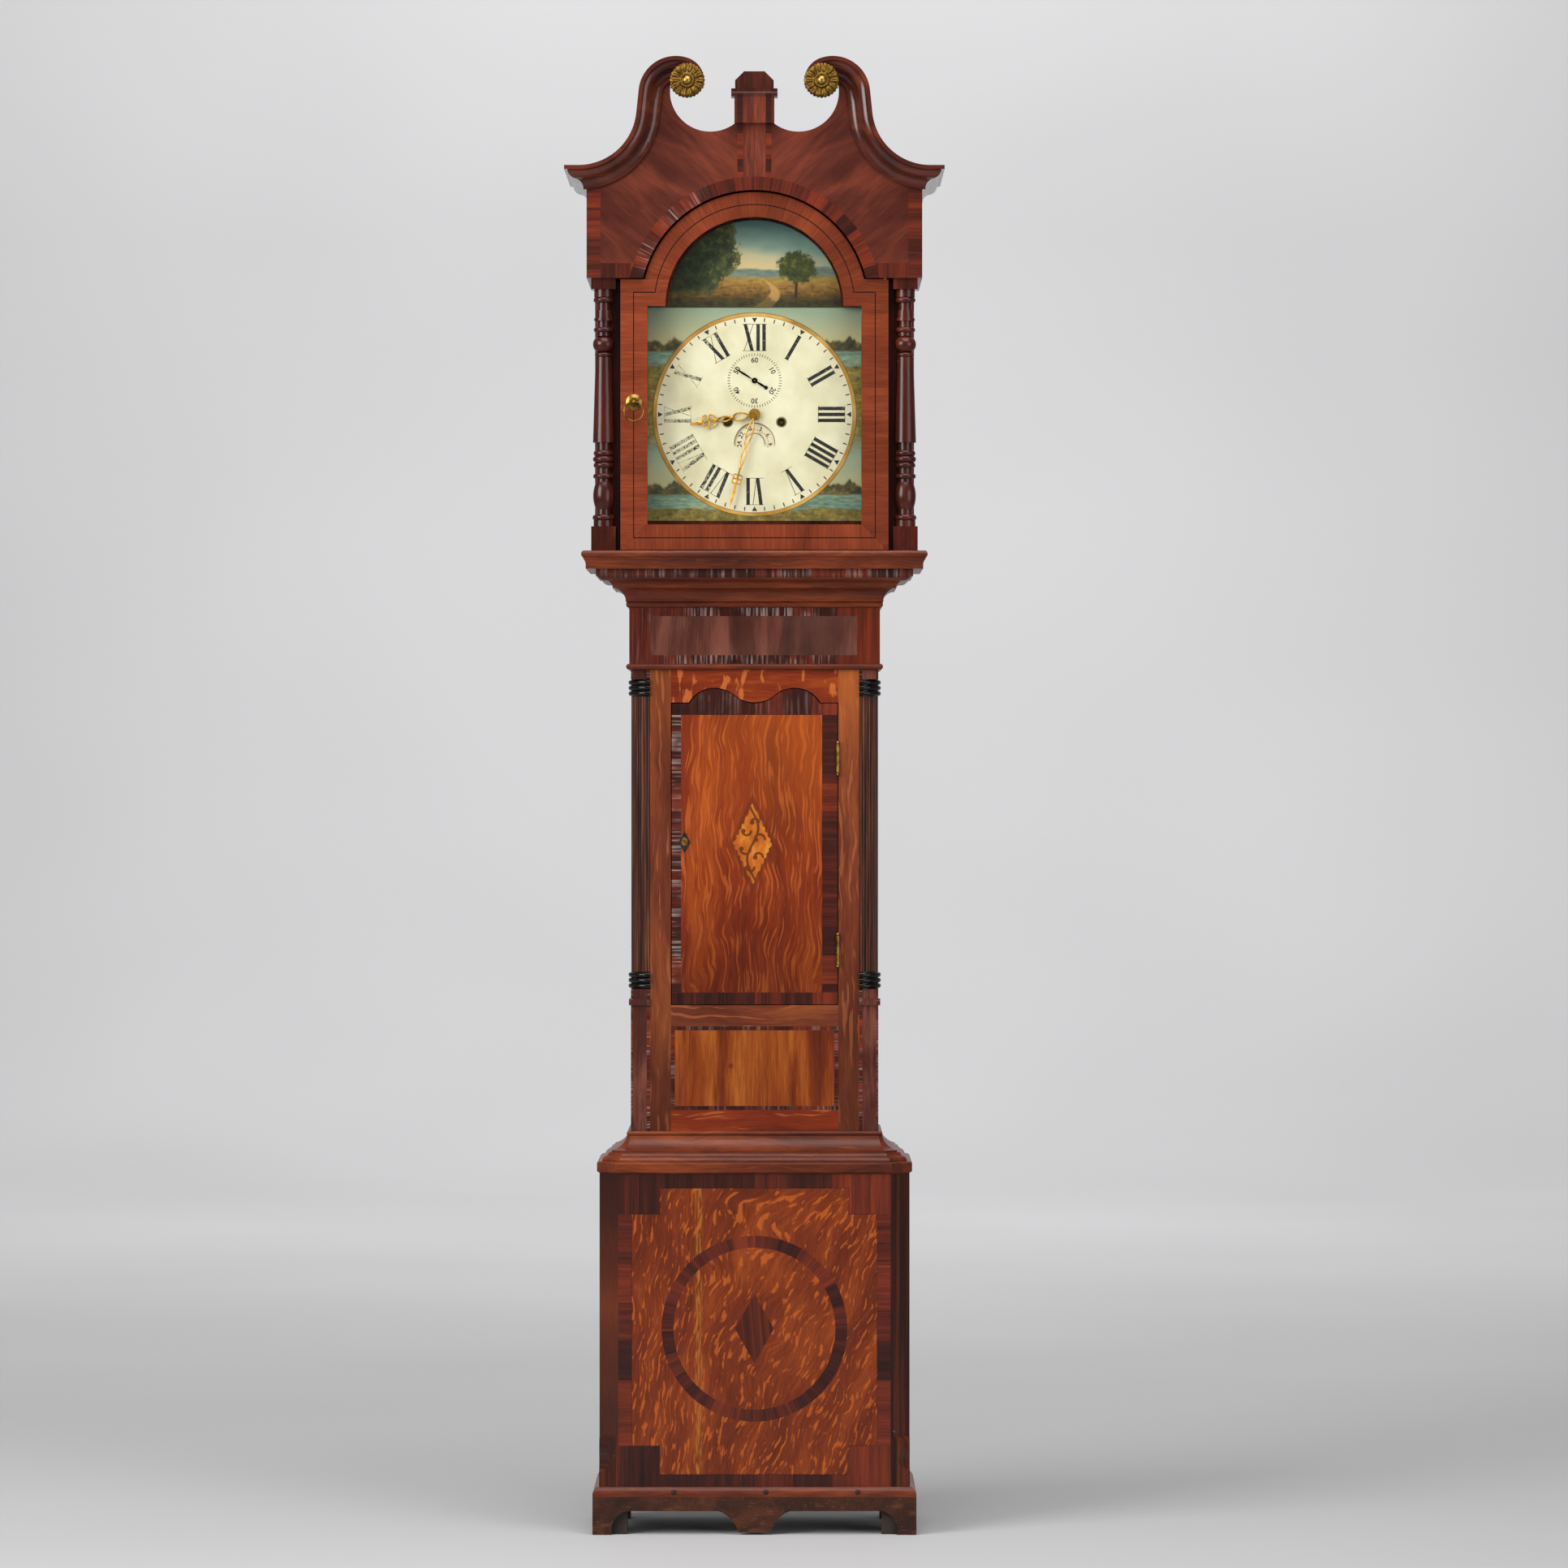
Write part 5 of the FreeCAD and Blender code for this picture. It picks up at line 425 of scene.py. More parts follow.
def lowerPanel():
    spec = {"half": 0.1245, "low": 0.6645, "high": 0.7825, "knot": (-0.037, 0.727, 0.002, 0.006)}
    web, x, y, z = surface("ribbonPanel")
    upright = web.within(z, spec["low"], spec["high"])
    field = web.below(abs(x), spec["half"]) * upright
    # the border has lifted a little, with raised crests and a painted highlight on them
    band, ripple = bordered(web, upright, 0.45, 0.03)
    ribbon = web.noise((x * 26, y * 5, z * 3), 2.0, 0.5, 0.5)
    line = pores(web, z, x, y)
    tone = ribbon + (line - 0.5) * 0.2 + (grain(web, z, x, y) - 0.5) * 0.25
    colour = web.ramp(tone, [(0.3, "43180a"), (0.46, "66280d"), (0.58, "844015"), (0.72, "a45f24")])
    knotX, knotZ, inner, outer = spec["knot"]
    colour = web.shade(colour, 0.55 + web.step(web.reach(x - knotX, z - knotZ), inner, outer) * 0.45)
    colour = web.blend(field, band, colour)
    return polished(web, colour, line, 0.26, line * 0.3 + ripple * (1 - field), 0.0006, 0.6)


def frieze():
    spec = {"low": 1.3695, "high": 1.4305, "end": 0.160, "liftedAndHighlit": (-0.15, 0.12, 0.03)}
    web, x, y, z = surface("bandedFrieze")
    between = web.within(z, spec["low"], spec["high"])
    ends = web.step(abs(x), spec["end"], spec["end"] + 0.0005)
    field = between * (1 - ends)
    # the banding has lifted above and below the field and at the left-hand end, with raised crests and a painted
    # highlight on them
    liftedAndHighlit = (1 - between) * web.within(x, *spec["liftedAndHighlit"]) + ends * web.step(x * -1, 0.0, 0.001) * 0.35
    band, ripple = crossband(web, x + y, z, liftedAndHighlit, 0.038)
    colour, line = mahogany(web, z, x, y, friezeStops, 1.2, 0.12)
    # a pale haze over the field, part wax bloom and part painted sheen
    bloomAndSheen = web.noise((x * 7, y * 7, z * 12), 3.0)
    colour = web.blend(web.step(bloomAndSheen, 0.35, 0.7) * 0.09, colour, "94756b")
    colour = web.blend(field, band, colour)
    return polished(web, colour, line, 0.22, line * 0.1 + ripple * (1 - field), 0.001, 0.8)


def pedimentVeneer():
    spec = {"band": (0.160, 0.1985), "edge": 0.239, "foot": 1.978, "tie": (0.0175, 0.0265), "cap": 2.240,
            "capHalf": 0.04, "liftedAndHighlit": (-0.175, -0.085, 0.02)}
    web, x, y, z = surface("flameVeneer")
    side = abs(x)
    up = z - archMiddle
    radius = web.reach(x, up)
    # halves of one flame, opened like a book
    along = side * 0.75 + z * 0.66
    across = z * 0.75 - side * 0.66
    colour, line = mahogany(web, along, across, y, mahoganyStops, 0.7, 0.18)
    flame = web.noise((along * 6, across * 11, y * 9), 3.0, 0.6, 1.8)
    colour = web.shade(colour, 0.62 + web.step(flame, 0.3, 0.66) * 0.36)
    # straight grain up to the cap, with a band down each side of it
    above = web.step(radius, spec["band"][1] - 0.0004, spec["band"][1])
    capped = web.step(z, spec["cap"], spec["cap"] + 0.001) * web.below(side, spec["capHalf"])
    straight = mahogany(web, z, x, y, mahoganyStops)[0]
    colour = web.blend(web.below(side, spec["tie"][1]) * above, colour, straight)
    tie = web.within(side, *spec["tie"]) * above * (1 - capped)
    colour = web.blend(tie, colour, crossband(web, z, x, 0.0, 0.02)[0])
    # bands up the ends, along the foot and round the arch
    upright = web.step(side, spec["edge"], spec["edge"] + 0.0004)
    border = web.below(z, spec["foot"], 0.0002).most(upright)
    band, ripple = bordered(web, upright, 0.0, 0.024)
    colour = web.blend(border, colour, band)
    onArch = web.within(radius, *spec["band"]) * web.step(up, 0.0, 0.001)
    # the arch band has lifted on the left, with raised crests and a painted highlight on them
    liftedAndHighlit = web.within(x, *spec["liftedAndHighlit"])
    hoop, hoopLine = crossband(web, web.turn(x, up) * 0.19, radius, liftedAndHighlit, 0.03)
    colour = web.blend(onArch, colour, hoop)
    colour = web.shade(colour, 1 - capped * 0.62)
    height = line * 0.3 + hoopLine * onArch + ripple * border * 0.4
    return polished(web, colour, line, 0.27, height, 0.0008, 0.6)


def hoodDoor():
    spec = {"line": 0.188, "low": 1.551, "jog": 1.933, "shoulder": 0.154, "bow": 0.1556, "thick": 0.0008,
            "corner": (0.2085, 1.5315), "sill": 1.571, "strip": 0.05, "over": 0.02}
    web, x, y, z = surface("strungDoor")
    side = abs(x)
    up = z - archMiddle
    radius = web.reach(x, up)
    over = web.step(z, spec["jog"] + spec["over"], spec["jog"] + spec["over"] + 0.0004)
    fromMitre = z - spec["corner"][1] - (spec["corner"][0] - side)
    mitre = web.over(fromMitre, 0.0)
    # the grain runs across the stiles and round the arch
    along = (x * mitre + z * (1 - mitre)) * (1 - over) + radius * over
    across = (z * mitre + x * (1 - mitre)) * (1 - over) + web.turn(x, up) * 0.16 * over
    colour, line = mahogany(web, along, across, y, doorStops, 0.55)
    colour = web.shade(colour, 0.78 + web.chance(across / spec["strip"]) * 0.3)
    # painted shade darkens the right-hand side of the door and its arch
    paintedShade = (web.step(x, 0.05, 0.2) * 0.7).most(over)
    colour = web.blend(paintedShade * 0.5, colour, web.shade(colour, 0.55))
    # one dark string all round the opening
    edge, low, jog, thick = spec["line"], spec["low"], spec["jog"], spec["thick"]
    stile = web.near(side, edge, thick) * web.within(z, low, jog)
    sill = web.near(z, low, thick) * web.below(side, edge)
    ledge = web.near(z, jog, thick) * web.within(side, spec["shoulder"], edge)
    arch = web.near(radius, spec["bow"], thick) * web.step(z, jog, jog + 0.0004)
    string = stile.most(sill).most(ledge).most(arch)
    colour = web.blend(string, colour, "120806")
    seam = web.near(fromMitre, 0.0, 0.0004) * (1 - web.step(z, spec["sill"], spec["sill"] + 0.0004))
    colour = web.shade(colour, 1 - seam * 0.5)
    return polished(web, colour, line, 0.26, line * 0.6 - string, 0.0002, 0.5)


def stripedPosts():
    spec = {"worn": (0.10, 0.20, 0.03)}
    web, x, y, z = surface("stripedRosewood")
    stripe = web.noise(((x + y) * 90, z * 1.5, 0.0), 3.0, 0.6, 0.4)
    line = pores(web, z, x, y)
    chip = web.noise((x * 70, y * 70, z * 40), 3.0)
    worn = web.step(chip, 0.68, 0.74) * web.within(z, *spec["worn"])
    colour = web.ramp(stripe + (line - 0.5) * 0.2,
                      [(0.3, "160907"), (0.48, "34140c"), (0.62, "57240f"), (0.8, "743818")])
    colour = web.blend(worn * 0.6, colour, "a06a3a")
    return polished(web, colour, line, 0.34, line - worn, 0.0003, 0.5)


def edgedPedestals():
    spec = {"outer": (0.1905, 0.191), "inner": (0.1685, 0.169)}
    web, x, y, z = surface("pedestalVeneer")
    side = abs(x)
    colour, line = mahogany(web, z, x, y, friezeStops)
    # the edge bands have lifted, with raised crests and a painted highlight on them
    band, ripple = crossband(web, z, x, 0.8, 0.05)
    edge = web.step(side, *spec["outer"]).most(1 - web.step(side, *spec["inner"]))
    colour = web.blend(edge, colour, band)
    return polished(web, colour, line, 0.25, line * 0.2 + ripple * edge, 0.0008, 0.7)


def mouldingOak(name, node, bandFrom=None):
    # mouldings mitred at the front corners, rubbed along their edges; over bandFrom a strip of lifted veneer with
    # a painted highlight on its crests
    web, x, y, z = surface(name)
    low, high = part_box(node)
    front = web.below(abs(x) + y, high.x + low.y, 0.0002)
    run = x * front + y * (1 - front)
    deep = y * front + x * (1 - front)
    colour, line = oak(web, run, z, deep, mouldingStops, "8a4518", trimRays)[:2]
    worn = web.step(web.noise((run * 30, deep * 90, z * 160), 4.0, 0.65), 0.6, 0.72)
    colour = web.blend(worn * 0.25, colour, "94532a")
    height = line * 0.4 - worn * 0.2
    if bandFrom is not None:
        band, ripple = crossband(web, run, z, 0.8)
        upper = web.step(z, bandFrom, bandFrom + 0.0006)
        colour = web.blend(upper, colour, band)
        height = height + ripple * upper
    return polished(web, colour, line, 0.36, height, 0.0006, 0.6)


def sideBoards():
    web, x, y, z = surface("sideOak")
    colour, line, fleck = oak(web, z, y, x * 0.05, oakStops, "a05a24", boardRays)
    return polished(web, colour, line, 0.34, line * 0.5 + fleck * 0.2, 0.0003, 0.5)


def turnedWood(name, stops, alongZ, base, streaks, coat):
    web, x, y, z = surface(name)
    along, across = (z, x) if alongZ else (x, z)
    colour, line = mahogany(web, along, across, y, stops, 1.0, streaks)
    return polished(web, colour, line, base, line, 0.00015, 0.4, coat)


def wornPlinth():
    # the skirt is dark with dirt, with the polish gone from its edges and feet
    spec = {"foot": 0.03}
    web, x, y, z = surface("wornPlinth")
    colour, line = mahogany(web, x + y, z, y - x, skirtStops)
    rub = web.noise((x * 30, y * 30, z * 90), 4.0, 0.65)
    worn = web.step(rub + (1 - web.step(z, 0.0, spec["foot"])) * 0.08, 0.56, 0.7)
    colour = web.blend(worn * 0.4, colour, "6a3d22")
    scratch = web.step(web.noise((x * 120, y * 120, z * 700), 2.0), 0.68, 0.74)
    colour = web.blend(scratch * 0.35, colour, "9a7a58")
    return web.finish(colour, worn * 0.2 + 0.4, line * 0.4 - scratch, 0.0003, 0.5, **polish)


def reededColumns():
    web, x, y, z = surface("darkReeds")
    line = pores(web, z, x, y)
    rub = web.noise((x * 300, y * 300, z * 6), 3.0, 0.6)
    colour = web.ramp(rub + (line - 0.5) * 0.2, [(0.3, "1a0d09"), (0.5, "3a1d13"), (0.68, "6b3c22")])
    return polished(web, colour, line, 0.32, line, 0.0002, 0.4)


def ebonisedRings():
    web, x, y, z = surface("glossyRings")
    rub = web.noise((x * 60, y * 60, z * 120), 4.0, 0.6)
    worn = web.step(rub, 0.6, 0.75)
    colour = web.blend(worn * 0.5, "0e0a09", "3a2013")
    return web.finish(colour, worn * 0.25 + 0.16, rub, 0.0002, 0.3, **polish)


def dirtyPine():
    web, x, y, z = surface("dirtyPine")
    colour, line = mahogany(web, z, x, y, dirtyStops)
    return web.finish(colour, line * 0.15 + 0.6, line, 0.0004, 0.6)


def backPine():
    # rough boards side by side, each of its own tone, with a dark joint between
    spec = {"board": 0.118, "joint": 0.49}
    web, x, y, z = surface("barePine")
    number = x / spec["board"] + 0.5
    own = web.chance(number)
    line = pores(web, z, x, y)
    streak = grain(web, z, x + own, y)
    cloud = web.noise((x * 30, y * 30, z * 1.6 + own * 20), 3.0)
    colour = web.ramp(cloud * 0.6 + streak * 0.35 + own * 0.12 - 0.03, pineStops)
    joint = web.step(abs(web.maths("FRACT", number) - 0.5), spec["joint"], spec["joint"] + 0.006)
    colour = web.shade(colour, 1 - joint * 0.7)
    return web.finish(colour, line * 0.15 + 0.6, line - joint, 0.0004, 0.6)


dress(basePanel(), "base_front_panel")
dress(trunkDoor(), "trunk_door")
dress(trunkFrame(), "trunk_frame")
dress(lowerPanel(), "lower_panel")
dress(frieze(), "trunk_frieze")
dress(pedimentVeneer(), "hood_pediment")
dress(hoodDoor(), "hood_door_frame")
dress(stripedPosts(), "base_corner_posts")
dress(edgedPedestals(), "trunk_pedestals")
dress(reededColumns(), "quarter_columns")
dress(ebonisedRings(), "column_rings")
dress(wornPlinth(), "plinth_skirt")
dress(mouldingOak("baseMoulding", "base_mouldings"), "base_mouldings")
dress(mouldingOak("hoodMoulding", "hood_base"), "hood_base")
dress(mouldingOak("trunkMoulding", "trunk_mouldings", 1.489), "trunk_mouldings")
dress(sideBoards(), "base_side_panels", "trunk_side_panels")
dress(turnedWood("hoodMahogany", mahoganyStops, True, 0.28, 0.25, 0.06), "hood_carcass")
dress(turnedWood("neckMahogany", neckStops, False, 0.2, 0.2, 0.35), "swan_necks")
# the columns and their blocks are dark mahogany; on the mask behind the door the same dark colour is painted shade
dress(turnedWood("darkMahoganyAndShade", darkAndShadeStops, True, 0.2, 0.4, 0.12),
      "hood_columns", "column_blocks", "hood_mask")
dress(dirtyPine(), "base_floor")
dress(backPine(), "backboards", "seatboard")
print("woods done")


def brass(name, bright, dull, base=0.24):
    web, x, y, z = surface(name)
    stain = web.mottle(90, 5.0, 0.65)
    brush = web.noise((x * 1400, y * 1400, z * 120), 2.0)
    colour = web.ramp(stain + (brush - 0.5) * 0.15, [(0.3, dull), (0.6, bright)])
    return web.finish(colour, stain * 0.2 + base - 0.05, brush, 0.00006, 0.3, Metallic=1.0)


def darkMetal(name, pale, deep, base, metallic=1.0):
    web = Web(name)
    stain = web.mottle(120, 5.0, 0.65)
    colour = web.ramp(stain, [(0.32, deep), (0.62, pale)])
    return web.finish(colour, stain * 0.25 + base - 0.1, web.mottle(800, 2.0), 0.0001, 0.35, Metallic=metallic)


def clearGlass():
    web, x, y, z = surface("oldGlass")
    smear = web.noise((x * 40, y * 40, z * 14), 4.0)
    colour = web.blend(smear * 0.1, "ffffff", "dfe8e2")
    return web.finish(colour, web.step(smear, 0.6, 0.9) * 0.05 + 0.01, web.mottle(9, 2.0), 0.0012, 0.12,
                      Transmission_Weight=1.0, IOR=1.06)


def twistedGut():
    web, x, y, z = surface("twistedGut")
    twist = (z * 2600 + web.turn(x, y) * 2).sine()
    colour = web.ramp(twist * 0.5 + 0.5, [(0.2, "7a5a30"), (0.8, "b08d58")])
    return web.finish(colour, 0.5, twist, 0.0002, 0.5)


def escutcheon():
    # a black kite let in flush, with a brass lining round the keyhole
    spec = {"x": -0.1095, "z": 1.0779, "hole": 0.0048, "front": -0.0500}
    web, x, y, z = surface("blackKite")
    stain = web.mottle(160, 4.0)
    lining = web.below(web.reach(x - spec["x"], (z - spec["z"]) * 0.75), spec["hole"], 0.0004)
    metal = lining.most(web.step(y, spec["front"], spec["front"] + 0.001))
    colour = web.ramp(stain, [(0.3, "120d0b"), (0.7, "2b1a13")])
    colour = web.blend(metal, colour, web.ramp(stain, [(0.3, "6e5120"), (0.6, "b8924a")]))
    web.plug(web.shader.inputs["Metallic"], metal)
    return web.finish(colour, stain * 0.2 + 0.25, stain, 0.0002, 0.4)


gutLine = twistedGut()
giltBrass = brass("giltBrass", "e0b04e", "a4701f", 0.3)
dress(brass("agedBrass", "a07c38", "5c4119"), "trunk_hinges", "trunk_door_hinges", "hood_pivots")
dress(brass("pullBrass", "8f6f34", "3c2a12"), "pull_rose", "pull_ring")
dress(brass("wheelBrass", "b8923f", "7e5f28", 0.3), "movement_frame", "back_cock", "motion_wheel",
      "going_great_wheel", "centre_wheel", "third_wheel", "escape_wheel", "going_barrel", "strike_barrel",
      "strike_great_wheel", "pin_wheel", "pallet_wheel", "warning_wheel", "strike_fly", "pendulum")
dress(darkMetal("greySteel", "8a8884", "3c3936", 0.28), "anchor_crutch", "hammer", "bell")
dress(darkMetal("castIron", "34302d", "151312", 0.55, 0.6), "going_weight", "strike_weight")
dress(darkMetal("bluedSteel", "2c2724", "120f0e", 0.35), "seconds_hand")
dress(clearGlass(), "hood_door_glass")
dress(gutLine, "going_line", "strike_line")
dress(giltBrass, "minute_hand", "hour_hand")
dress(escutcheon(), "trunk_lock")


def rosetteBrass():
    # old cast brass: dark in the hollows, rubbed bright on the crowns
    spec = {"front": -0.1538, "rise": 0.0083}
    web = Web("rosetteBrass")
    stain = web.mottle(260, 4.0, 0.6)
    crown = (web.y - spec["front"]) / spec["rise"]
    colour = web.ramp(stain * 0.45 + (1 - crown) * 0.5, [(0.25, "2a1c0a"), (0.5, "6f5222"), (0.75, "b08c46")])
    return web.finish(colour, stain * 0.2 + 0.26, stain, 0.0003, 0.4, Metallic=1.0)


def cornerWater(web, up, leaves, drift, stroke):
    # each corner: a pool under a pale sky, a far wooded shore, and a dry bank in front
    spec = {"foot": (0.052, -0.172), "shore": (0.036, 0.042), "pool": (0.045, 0.048), "bank": (0.032, 0.037),
            "dusk": (0.02, 0.055)}
    level = web.step(up, 0.0, 0.001)
    upper, lower = spec["foot"]
    height = (up - upper) * level + (up - lower) * (1 - level) + (stroke - 0.5) * 0.004
    wood = web.noise((web.x * 38, 0.0, 0.0), 3.0, 0.6) * 0.05
    edge = web.noise((web.x * 24, 3.0, 0.0), 2.0) * 0.02
    sky = web.ramp(height * 9 + (drift - 0.5) * 0.5, [(0.5, "b0a676"), (0.72, "a0a27e"), (1.0, "86997f")])
    trees = web.ramp(leaves, [(0.35, "23261a"), (0.52, "4a4626"), (0.68, "86703c")])
    pool = web.ramp(stroke * 0.6 + drift * 0.4, [(0.35, "46604f"), (0.5, "6a8670"), (0.65, "98a383")])
    ground = web.ramp(leaves * 0.7 + stroke * 0.3, [(0.35, "3f3a1c"), (0.5, "75672c"), (0.66, "a48d48")])
    colour = web.blend(web.step(height - wood, *spec["shore"]), trees, sky)
    colour = web.blend(web.step(height + (leaves - 0.5) * 0.01, *spec["pool"]), pool, colour)
    colour = web.blend(web.step(height + edge, *spec["bank"]), ground, colour)
    dusk = 1 - web.step(abs(up + 0.01) + (leaves - 0.5) * 0.03, *spec["dusk"])
    return web.blend(dusk * 0.9, colour, ground)


def archValley(web, rise, leaves, drift, stroke):
    # the arch: an evening valley with a lane, a wood on the left and a lone oak on the right
    spec = {"hills": 0.060, "meadow": 0.047, "wood": -0.048, "woodFoot": (0.012, 0.03),
            "oak": (0.066, 0.062, 0.026), "trunk": (0.0022, 0.014, 0.05), "lane": 0.012, "laneEnd": (0.044, 0.047)}
    x = web.x
    hill = web.noise((x * 16, 0.0, 0.0), 2.0) * 0.03 - 0.015
    sky = web.ramp(rise * 7.4 + x * 1.6 + (drift - 0.5) * 0.5,
                   [(0.4, "c9b27c"), (0.58, "b3ae88"), (0.75, "7d9584"), (0.95, "55756f")])
    far = web.ramp(stroke * 0.5 + drift * 0.5, [(0.4, "5c6f68"), (0.6, "7f8a74")])
    meadow = web.ramp(rise * 9 + (leaves - 0.5) * 0.5 + (stroke - 0.5) * 0.4,
                      [(0.02, "2e2412"), (0.16, "5b431d"), (0.3, "8c672c"), (0.45, "9d8440")])
    colour = web.blend(web.over(rise - hill, spec["hills"], 0.002), far, sky)
    colour = web.blend(web.over(rise - hill * 0.3, spec["meadow"], 0.002), meadow, colour)
    lane = abs(x - spec["lane"] - (rise * 70).sine() * 0.02) - (spec["meadow"] - rise) * 0.3
    lane = web.below(lane, 0.0, 0.002) * (1 - web.step(rise, *spec["laneEnd"]))
    colour = web.blend(lane * 0.8, colour, "b58e51")
    wood = spec["wood"] - x + (leaves - 0.5) * 0.06 + rise * 0.35 - abs(rise - 0.07) * 0.5
    wood = web.step(wood, -0.002, 0.004) * web.step(rise, *spec["woodFoot"])
    foliage = web.ramp(leaves + x * 1.5 + 0.1,
                       [(0.3, "151a10"), (0.5, "2f3a1e"), (0.66, "5d602f"), (0.8, "8a7d43")])
    colour = web.blend(wood, colour, foliage)
    oakX, oakZ, spread = spec["oak"]
    half, low, high = spec["trunk"]
    trunk = web.near(x, oakX + rise * 0.04 - 0.002, half, 0.0008) * web.within(rise, low, high, 0.002)
    colour = web.blend(trunk, colour, "2b2013")
    crown = web.reach((x - oakX) * 0.85, rise - oakZ) + (leaves - 0.5) * 0.03
    colour = web.blend(1 - web.step(crown, spread - 0.004, spread + 0.002), colour,
                       web.ramp(leaves, [(0.32, "1c2113"), (0.52, "434a22"), (0.7, "857a38")]))
    bush = web.step(0.02 + (leaves - 0.5) * 0.04 - rise, 0.004, 0.012)
    return web.blend(bush * 0.75, colour, web.ramp(leaves, [(0.35, "17140b"), (0.6, "3e3d1c")]))


def dialPaint():
    spec = {"disc": 0.1534, "gilt": 0.1592, "spring": 1.9135, "front": -0.0516,
            "mouth": (0.045, 0.0155, 0.0315), "mouthEnd": (-0.052, -0.044), "lip": 0.0007,
            "winding": (0.042, -0.012, 0.0062, 0.0085)}
    web, x, y, z = surface("paintedDial")
    up = z - dialMiddle
    radius = web.reach(x, up)
    mottle = web.noise((x * 14, y, z * 14), 4.0, 0.6)
    crack = web.noise((x * 900, y, z * 900), 2.0)
    cream = web.ramp(mottle, [(0.3, "c6bf98"), (0.5, "d5cfab"), (0.7, "dfdaba")])
    speck = web.step(web.noise((x * 420, y, z * 420), 1.0), 0.74, 0.8)
    cream = web.blend(speck * 0.5, cream, "7a6a45")
    # a dark lip round the date mouth, and worn rims at the winding holes
    drop, inner, outer = spec["mouth"]
    mouth = web.reach(x, up + drop)
    lip = web.near(mouth, outer, spec["lip"], 0.0004).most(web.near(mouth, inner, spec["lip"], 0.0004))
    cream = web.blend(lip * web.step(up, *spec["mouthEnd"]) * 0.85, cream, "2a251a")
    across, height, inner, outer = spec["winding"]
    rim = web.within(web.reach(abs(x) - across, up - height), inner, outer, 0.0006)
    cream = web.blend(rim * 0.75, cream, "3b3020")
    leaves = web.noise((x * 70, y, z * 70), 5.0, 0.7)
    drift = web.noise((x * 9, y, z * 26), 4.0)
    stroke = web.noise((x * 60, y, z * 240), 3.0)
    picture = web.blend(web.over(z, spec["spring"], 0.0003), cornerWater(web, up, leaves, drift, stroke),
                        archValley(web, z - archMiddle, leaves, drift, stroke))
    picture = web.blend(web.near(z, spec["spring"], 0.0007), picture, "3a2c18")
    colour = web.blend(web.over(radius, spec["disc"]), cream, picture)
    gold = web.within(radius, spec["disc"], spec["gilt"])
    gilt = web.ramp(mottle + (crack - 0.5) * 0.4, [(0.3, "7d5416"), (0.5, "b5842f"), (0.7, "d9ad58")])
    colour = web.blend(gold, colour, gilt)
    edging = web.near(radius, spec["gilt"], 0.0006).most(web.near(radius, spec["disc"], 0.0004))
    colour = web.blend(edging * 0.7, colour, "4a3416")
    colour = web.blend(web.below(y, spec["front"], 0.0002), "6a6058", colour)  # the back is bare grey
    return web.finish(colour, mottle * 0.15 + 0.25, crack * 0.5 + gold, 0.0002, 0.35, Coat_Weight=0.2)


def datePaint():
    web, x, y, z = surface("dateDiscPaint")
    mottle = web.noise((x * 30, y, z * 30), 4.0)
    colour = web.ramp(mottle, [(0.3, "cfc39a"), (0.6, "e2d8b8")])
    return web.finish(colour, mottle * 0.2 + 0.35, mottle, 0.0001, 0.3)


def ink(name, fade):  # fade wears the marks away towards the left of the dial
    web, x, y, z = surface(name)
    rub = web.noise((x * 240, y, z * 240), 4.0, 0.7)
    worn = web.step(rub + web.step(x * -1, 0.02, 0.13) * fade, 0.6, 0.68)
    colour = web.blend(worn * 0.9, "12100e", "b9b28f")
    return web.finish(colour, rub * 0.2 + 0.4, rub, 0.00005, 0.3)


inkBlack = ink("numeralInk", 0.2)
inkFine = ink("fineInk", 0.04)
dress(dialPaint(), "dial")
dress(datePaint(), "calendar_disc")
print("metals and dial done")


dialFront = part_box("dial")[0].y


def placed(name, data):
    thing = bpy.data.objects.new(name, data)
    scene.collection.objects.link(thing)
    return thing


def plainMesh(thing):  # what a curve or a node tree comes to
    bpy.context.view_layer.update()
    return bpy.data.meshes.new_from_object(thing.evaluated_get(bpy.context.evaluated_depsgraph_get()))


def sprout(tree, kind, inputs, **settings):
    # one node with its inputs linked or set; gives its first output
    node = tree.nodes.new(kind if kind.startswith("Shader") else "GeometryNode" + kind)
    for name, value in settings.items():
        setattr(node, name, value)
    for name, value in inputs.items():
        if isinstance(value, bpy.types.NodeSocket):
            tree.links.new(value, node.inputs[name])
        else:
            node.inputs[name].default_value = value
    return node.outputs[0]


def grown(name, make, inputs, material, body):
    # run a node tree once and keep what it grows as a plain mesh
    tree = bpy.data.node_groups.new(name + "Tree", "GeometryNodeTree")
    tree.interface.new_socket("Geometry", in_out="OUTPUT", socket_type="NodeSocketGeometry")
    entry, leave = tree.nodes.new("NodeGroupInput"), tree.nodes.new("NodeGroupOutput")
    keys = {}
    for label, value in inputs.items():
        kind = "NodeSocketInt" if isinstance(value, int) else "NodeSocketFloat"
        keys[label] = tree.interface.new_socket(label, in_out="INPUT", socket_type=kind).identifier
    shape = make(tree, {label: entry.outputs[label] for label in inputs})
    real = sprout(tree, "RealizeInstances", {0: shape})
    painted = sprout(tree, "SetMaterial", {"Geometry": real, "Material": material})
    tree.links.new(painted, leave.inputs[0])
    piece = placed(name, bpy.data.meshes.new(name + "Seed"))
    modifier = piece.modifiers.new("grow", "NODES")
    modifier.node_group = tree
    for label, value in inputs.items():
        modifier[keys[label]] = value
    mesh = plainMesh(piece)
    piece.modifiers.clear()
    piece.data = mesh
    mesh.name = name
    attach(piece, body)
    return piece


def sum2(tree, kind, first, second=0.0):
    return sprout(tree, "ShaderNodeMath", {0: first, 1: second}, operation=kind)


